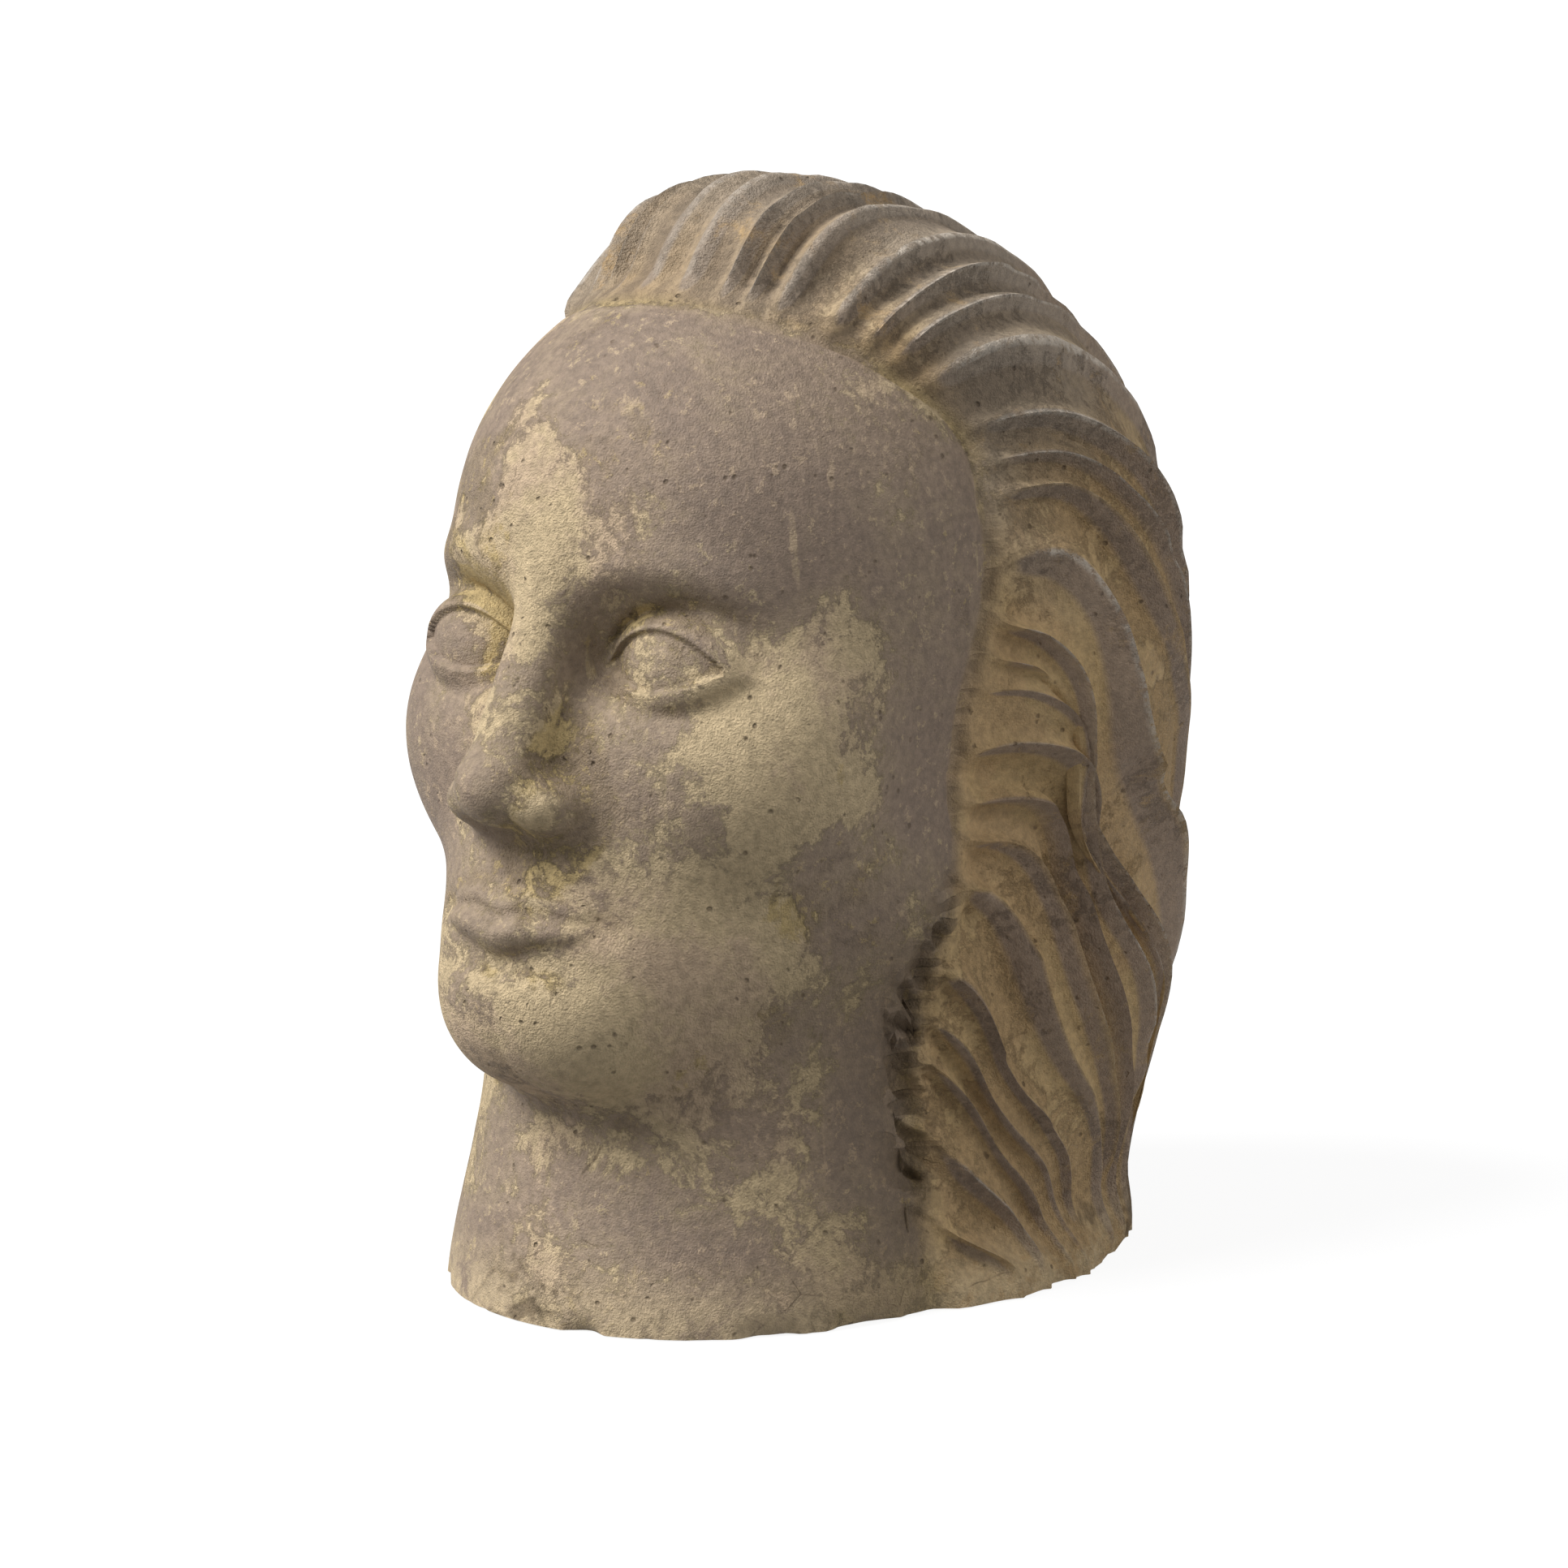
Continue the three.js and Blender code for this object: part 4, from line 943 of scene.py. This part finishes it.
class ClayHeadSettings(bpy.types.PropertyGroup):
    """Sizes of the carving and colours of the clay."""

    lock_depth: length_property("Lock depth", "From crest to channel of a full-width lock", 0.0068)
    unevenness: length_property("Unevenness", "Height of the waves left by the hand in the clay", 0.0005)
    chip_depth: length_property("Chip depth", "How far in the rim of the underside is broken", 0.0035)
    buff: colour_property("Buff", "The plain body of the clay", (0.54, 0.42, 0.255))
    blush: colour_property("Blush", "Pinkish-beige patches of the body", (0.495, 0.37, 0.25))
    smoke: colour_property("Smoke", "Grey-brown skin from the fire", (0.225, 0.166, 0.123))
    ochre: colour_property("Ochre", "Sandy deposit in the hollows", (0.50, 0.375, 0.175))
    channel: colour_property("Channel", "Olive tan in the channels of the hair", (0.43, 0.292, 0.147))
    # The flank grey is partly grey patina and partly painted shade.
    flank: colour_property("Flank", "Grey on the steep flanks of the locks", (0.27, 0.20, 0.152))
    # The crest colour is partly rubbed pale clay and partly a painted highlight.
    crest: colour_property("Crest", "Rubbed pale clay on the crests of the locks", (0.50, 0.435, 0.36))
    # The shade colour is painted shade at the bottom of the grooves of the crown.
    shade: colour_property("Shade", "Dirt at the bottom of the grooves of the crown", (0.155, 0.115, 0.08))
    dust: colour_property("Dust", "Grey-beige dust on the crown", (0.305, 0.25, 0.192))
    stain: colour_property("Stain", "Brown stain at the rim and in all cuts and pits", (0.085, 0.055, 0.028))


class ClayStageSettings(bpy.types.PropertyGroup):
    """The floor, the light and the photograph's camera."""

    floor: colour_property("Floor", "Pale floor under the head", (0.16, 0.16, 0.16))
    floor_glow: strength_property("Floor glow", "How bright the floor is in shade", 0.89)
    key: strength_property("Key light", "Strength of the soft light before the face", 4.7)
    spread: angle_property("Spread", "Width of both lights in the sky", 35)
    key_azimuth: angle_property("Key azimuth", "Where the key light stands, round from the front", -36)
    key_height: angle_property("Key height", "How high the key light stands", 46)
    fill: strength_property("Fill light", "Strength of the weak light beside the hair", 0.85)
    fill_azimuth: angle_property("Fill azimuth", "Where the fill light stands, round from the front", 105)
    fill_height: angle_property("Fill height", "How high the fill light stands", 35)
    sky: strength_property("Sky", "Strength of the even light all round", 0.3)
    distance: length_property("Camera distance", "From the camera to the point it looks at", 1.5)
    aim_height: length_property("Aim height", "Height of the point the camera looks at", 0.1276)
    aim_back: length_property("Aim back", "How far behind the middle that point lies", 0.00435)
    azimuth: angle_property("Camera azimuth", "Round from the front", 38)
    elevation: angle_property("Camera elevation", "Above the floor", 10.5)
    lens: bpy.props.FloatProperty(
        name="Lens", description="Focal length on a sensor 36 mm wide", default=127.6, unit="CAMERA")


def direction_of(azimuth, elevation):
    """The way from the head to a place round from the front and above the floor."""
    level = np.cos(elevation)
    return Vector((np.sin(azimuth) * level, -np.cos(azimuth) * level, np.sin(elevation)))


def add_floor_and_backdrop(settings):
    """A round floor inside a white ball that only the camera sees."""
    bpy.ops.mesh.primitive_circle_add(vertices=STAGE.corners, radius=STAGE.floor_radius, fill_type="NGON",
                                      location=(0, 0, -STAGE.floor_below))
    floor = bpy.context.object
    floor.name = "floor"
    floor.data.materials.append(plain_material("pale_floor", settings.floor, settings.floor_glow))
    floor.visible_diffuse = False
    bpy.ops.mesh.primitive_uv_sphere_add(segments=STAGE.segments, ring_count=STAGE.rings,
                                         radius=STAGE.backdrop_radius)
    backdrop = bpy.context.object
    backdrop.name = "backdrop"
    backdrop.data.materials.append(plain_material("white_backdrop", (0, 0, 0), 1.0))
    for flag in ("visible_diffuse", "visible_glossy", "visible_shadow", "visible_transmission"):
        setattr(backdrop, flag, False)


def add_sun(name, strength, spread, azimuth, elevation):
    """A soft sun that shines on the head from where it stands."""
    light = bpy.data.objects.new(name, bpy.data.lights.new(name, "SUN"))
    light.data.energy = strength
    light.data.angle = spread
    toward = direction_of(azimuth, elevation)
    light.location = toward * STAGE.light_away
    light.rotation_euler = toward.to_track_quat("Z", "Y").to_euler()
    bpy.context.scene.collection.objects.link(light)


def add_camera(settings):
    """The camera at its distance from the point it looks at."""
    camera = bpy.data.objects.new("photo_camera", bpy.data.cameras.new("photo_camera"))
    camera.data.lens = settings.lens
    camera.data.sensor_width = STAGE.sensor
    back = direction_of(settings.azimuth, settings.elevation)
    camera.location = Vector((0, settings.aim_back, settings.aim_height)) + back * settings.distance
    camera.rotation_euler = back.to_track_quat("Z", "Y").to_euler()
    bpy.context.scene.collection.objects.link(camera)
    bpy.context.scene.camera = camera


class CLAYHEAD_OT_carve_head(bpy.types.Operator):
    """Carve the head with its hair and neck in place of its plain solid"""

    bl_idname = "clay_head.carve_head"
    bl_label = "Carve the Head"

    def execute(self, context):
        settings = context.scene.clay_head
        depths = settings.lock_depth / MM, settings.unevenness / MM, settings.chip_depth / MM
        points, faces, read = carve(*depths)
        carving = make_mesh("head_carving", points, faces)
        for name, values in read.items():
            layer = carving.data.attributes.new(name, "FLOAT", "POINT")
            layer.data.foreach_set("value", values)
        carving.data.materials.append(clay_material(settings))
        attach(carving, "root")
        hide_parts("female_head")
        return {"FINISHED"}


class CLAYHEAD_OT_set_stage(bpy.types.Operator):
    """Lay a pale floor, light it softly and stand the camera where the photograph was taken"""

    bl_idname = "clay_head.set_stage"
    bl_label = "Set the Stage"

    def execute(self, context):
        settings = context.scene.clay_stage
        add_floor_and_backdrop(settings)
        add_sun("key_light", settings.key, settings.spread, settings.key_azimuth, settings.key_height)
        add_sun("fill_light", settings.fill, settings.spread, settings.fill_azimuth, settings.fill_height)
        sky = bpy.data.worlds.new("studio_sky")
        sky.use_nodes = True
        sky.node_tree.nodes["Background"].inputs["Color"].default_value = (1, 1, 1, 1)
        sky.node_tree.nodes["Background"].inputs["Strength"].default_value = settings.sky
        context.scene.world = sky
        context.scene.view_settings.view_transform = "Standard"
        add_camera(settings)
        return {"FINISHED"}


class CLAYHEAD_PT_sidebar(bpy.types.Panel):
    """The settings of the clay head and its stage"""

    bl_label = "Clay Head"
    bl_idname = "CLAYHEAD_PT_sidebar"
    bl_space_type = "VIEW_3D"
    bl_region_type = "UI"
    bl_category = "Clay Head"

    def draw(self, context):
        for settings, operator in (
            (context.scene.clay_head, CLAYHEAD_OT_carve_head),
            (context.scene.clay_stage, CLAYHEAD_OT_set_stage),
        ):
            box = self.layout.box()
            for name in settings.__annotations__:
                box.prop(settings, name)
            box.operator(operator.bl_idname)


CLASSES = (
    ClayHeadSettings, ClayStageSettings, CLAYHEAD_OT_carve_head, CLAYHEAD_OT_set_stage, CLAYHEAD_PT_sidebar)


def register():
    for each in CLASSES:
        bpy.utils.register_class(each)
    bpy.types.Scene.clay_head = bpy.props.PointerProperty(type=ClayHeadSettings)
    bpy.types.Scene.clay_stage = bpy.props.PointerProperty(type=ClayStageSettings)


def unregister():
    del bpy.types.Scene.clay_head
    del bpy.types.Scene.clay_stage
    for each in reversed(CLASSES):
        bpy.utils.unregister_class(each)


def main():
    """Make the head and its stage."""
    register()
    bpy.ops.clay_head.carve_head()
    bpy.ops.clay_head.set_stage()


if __name__ == "__main__":
    main()
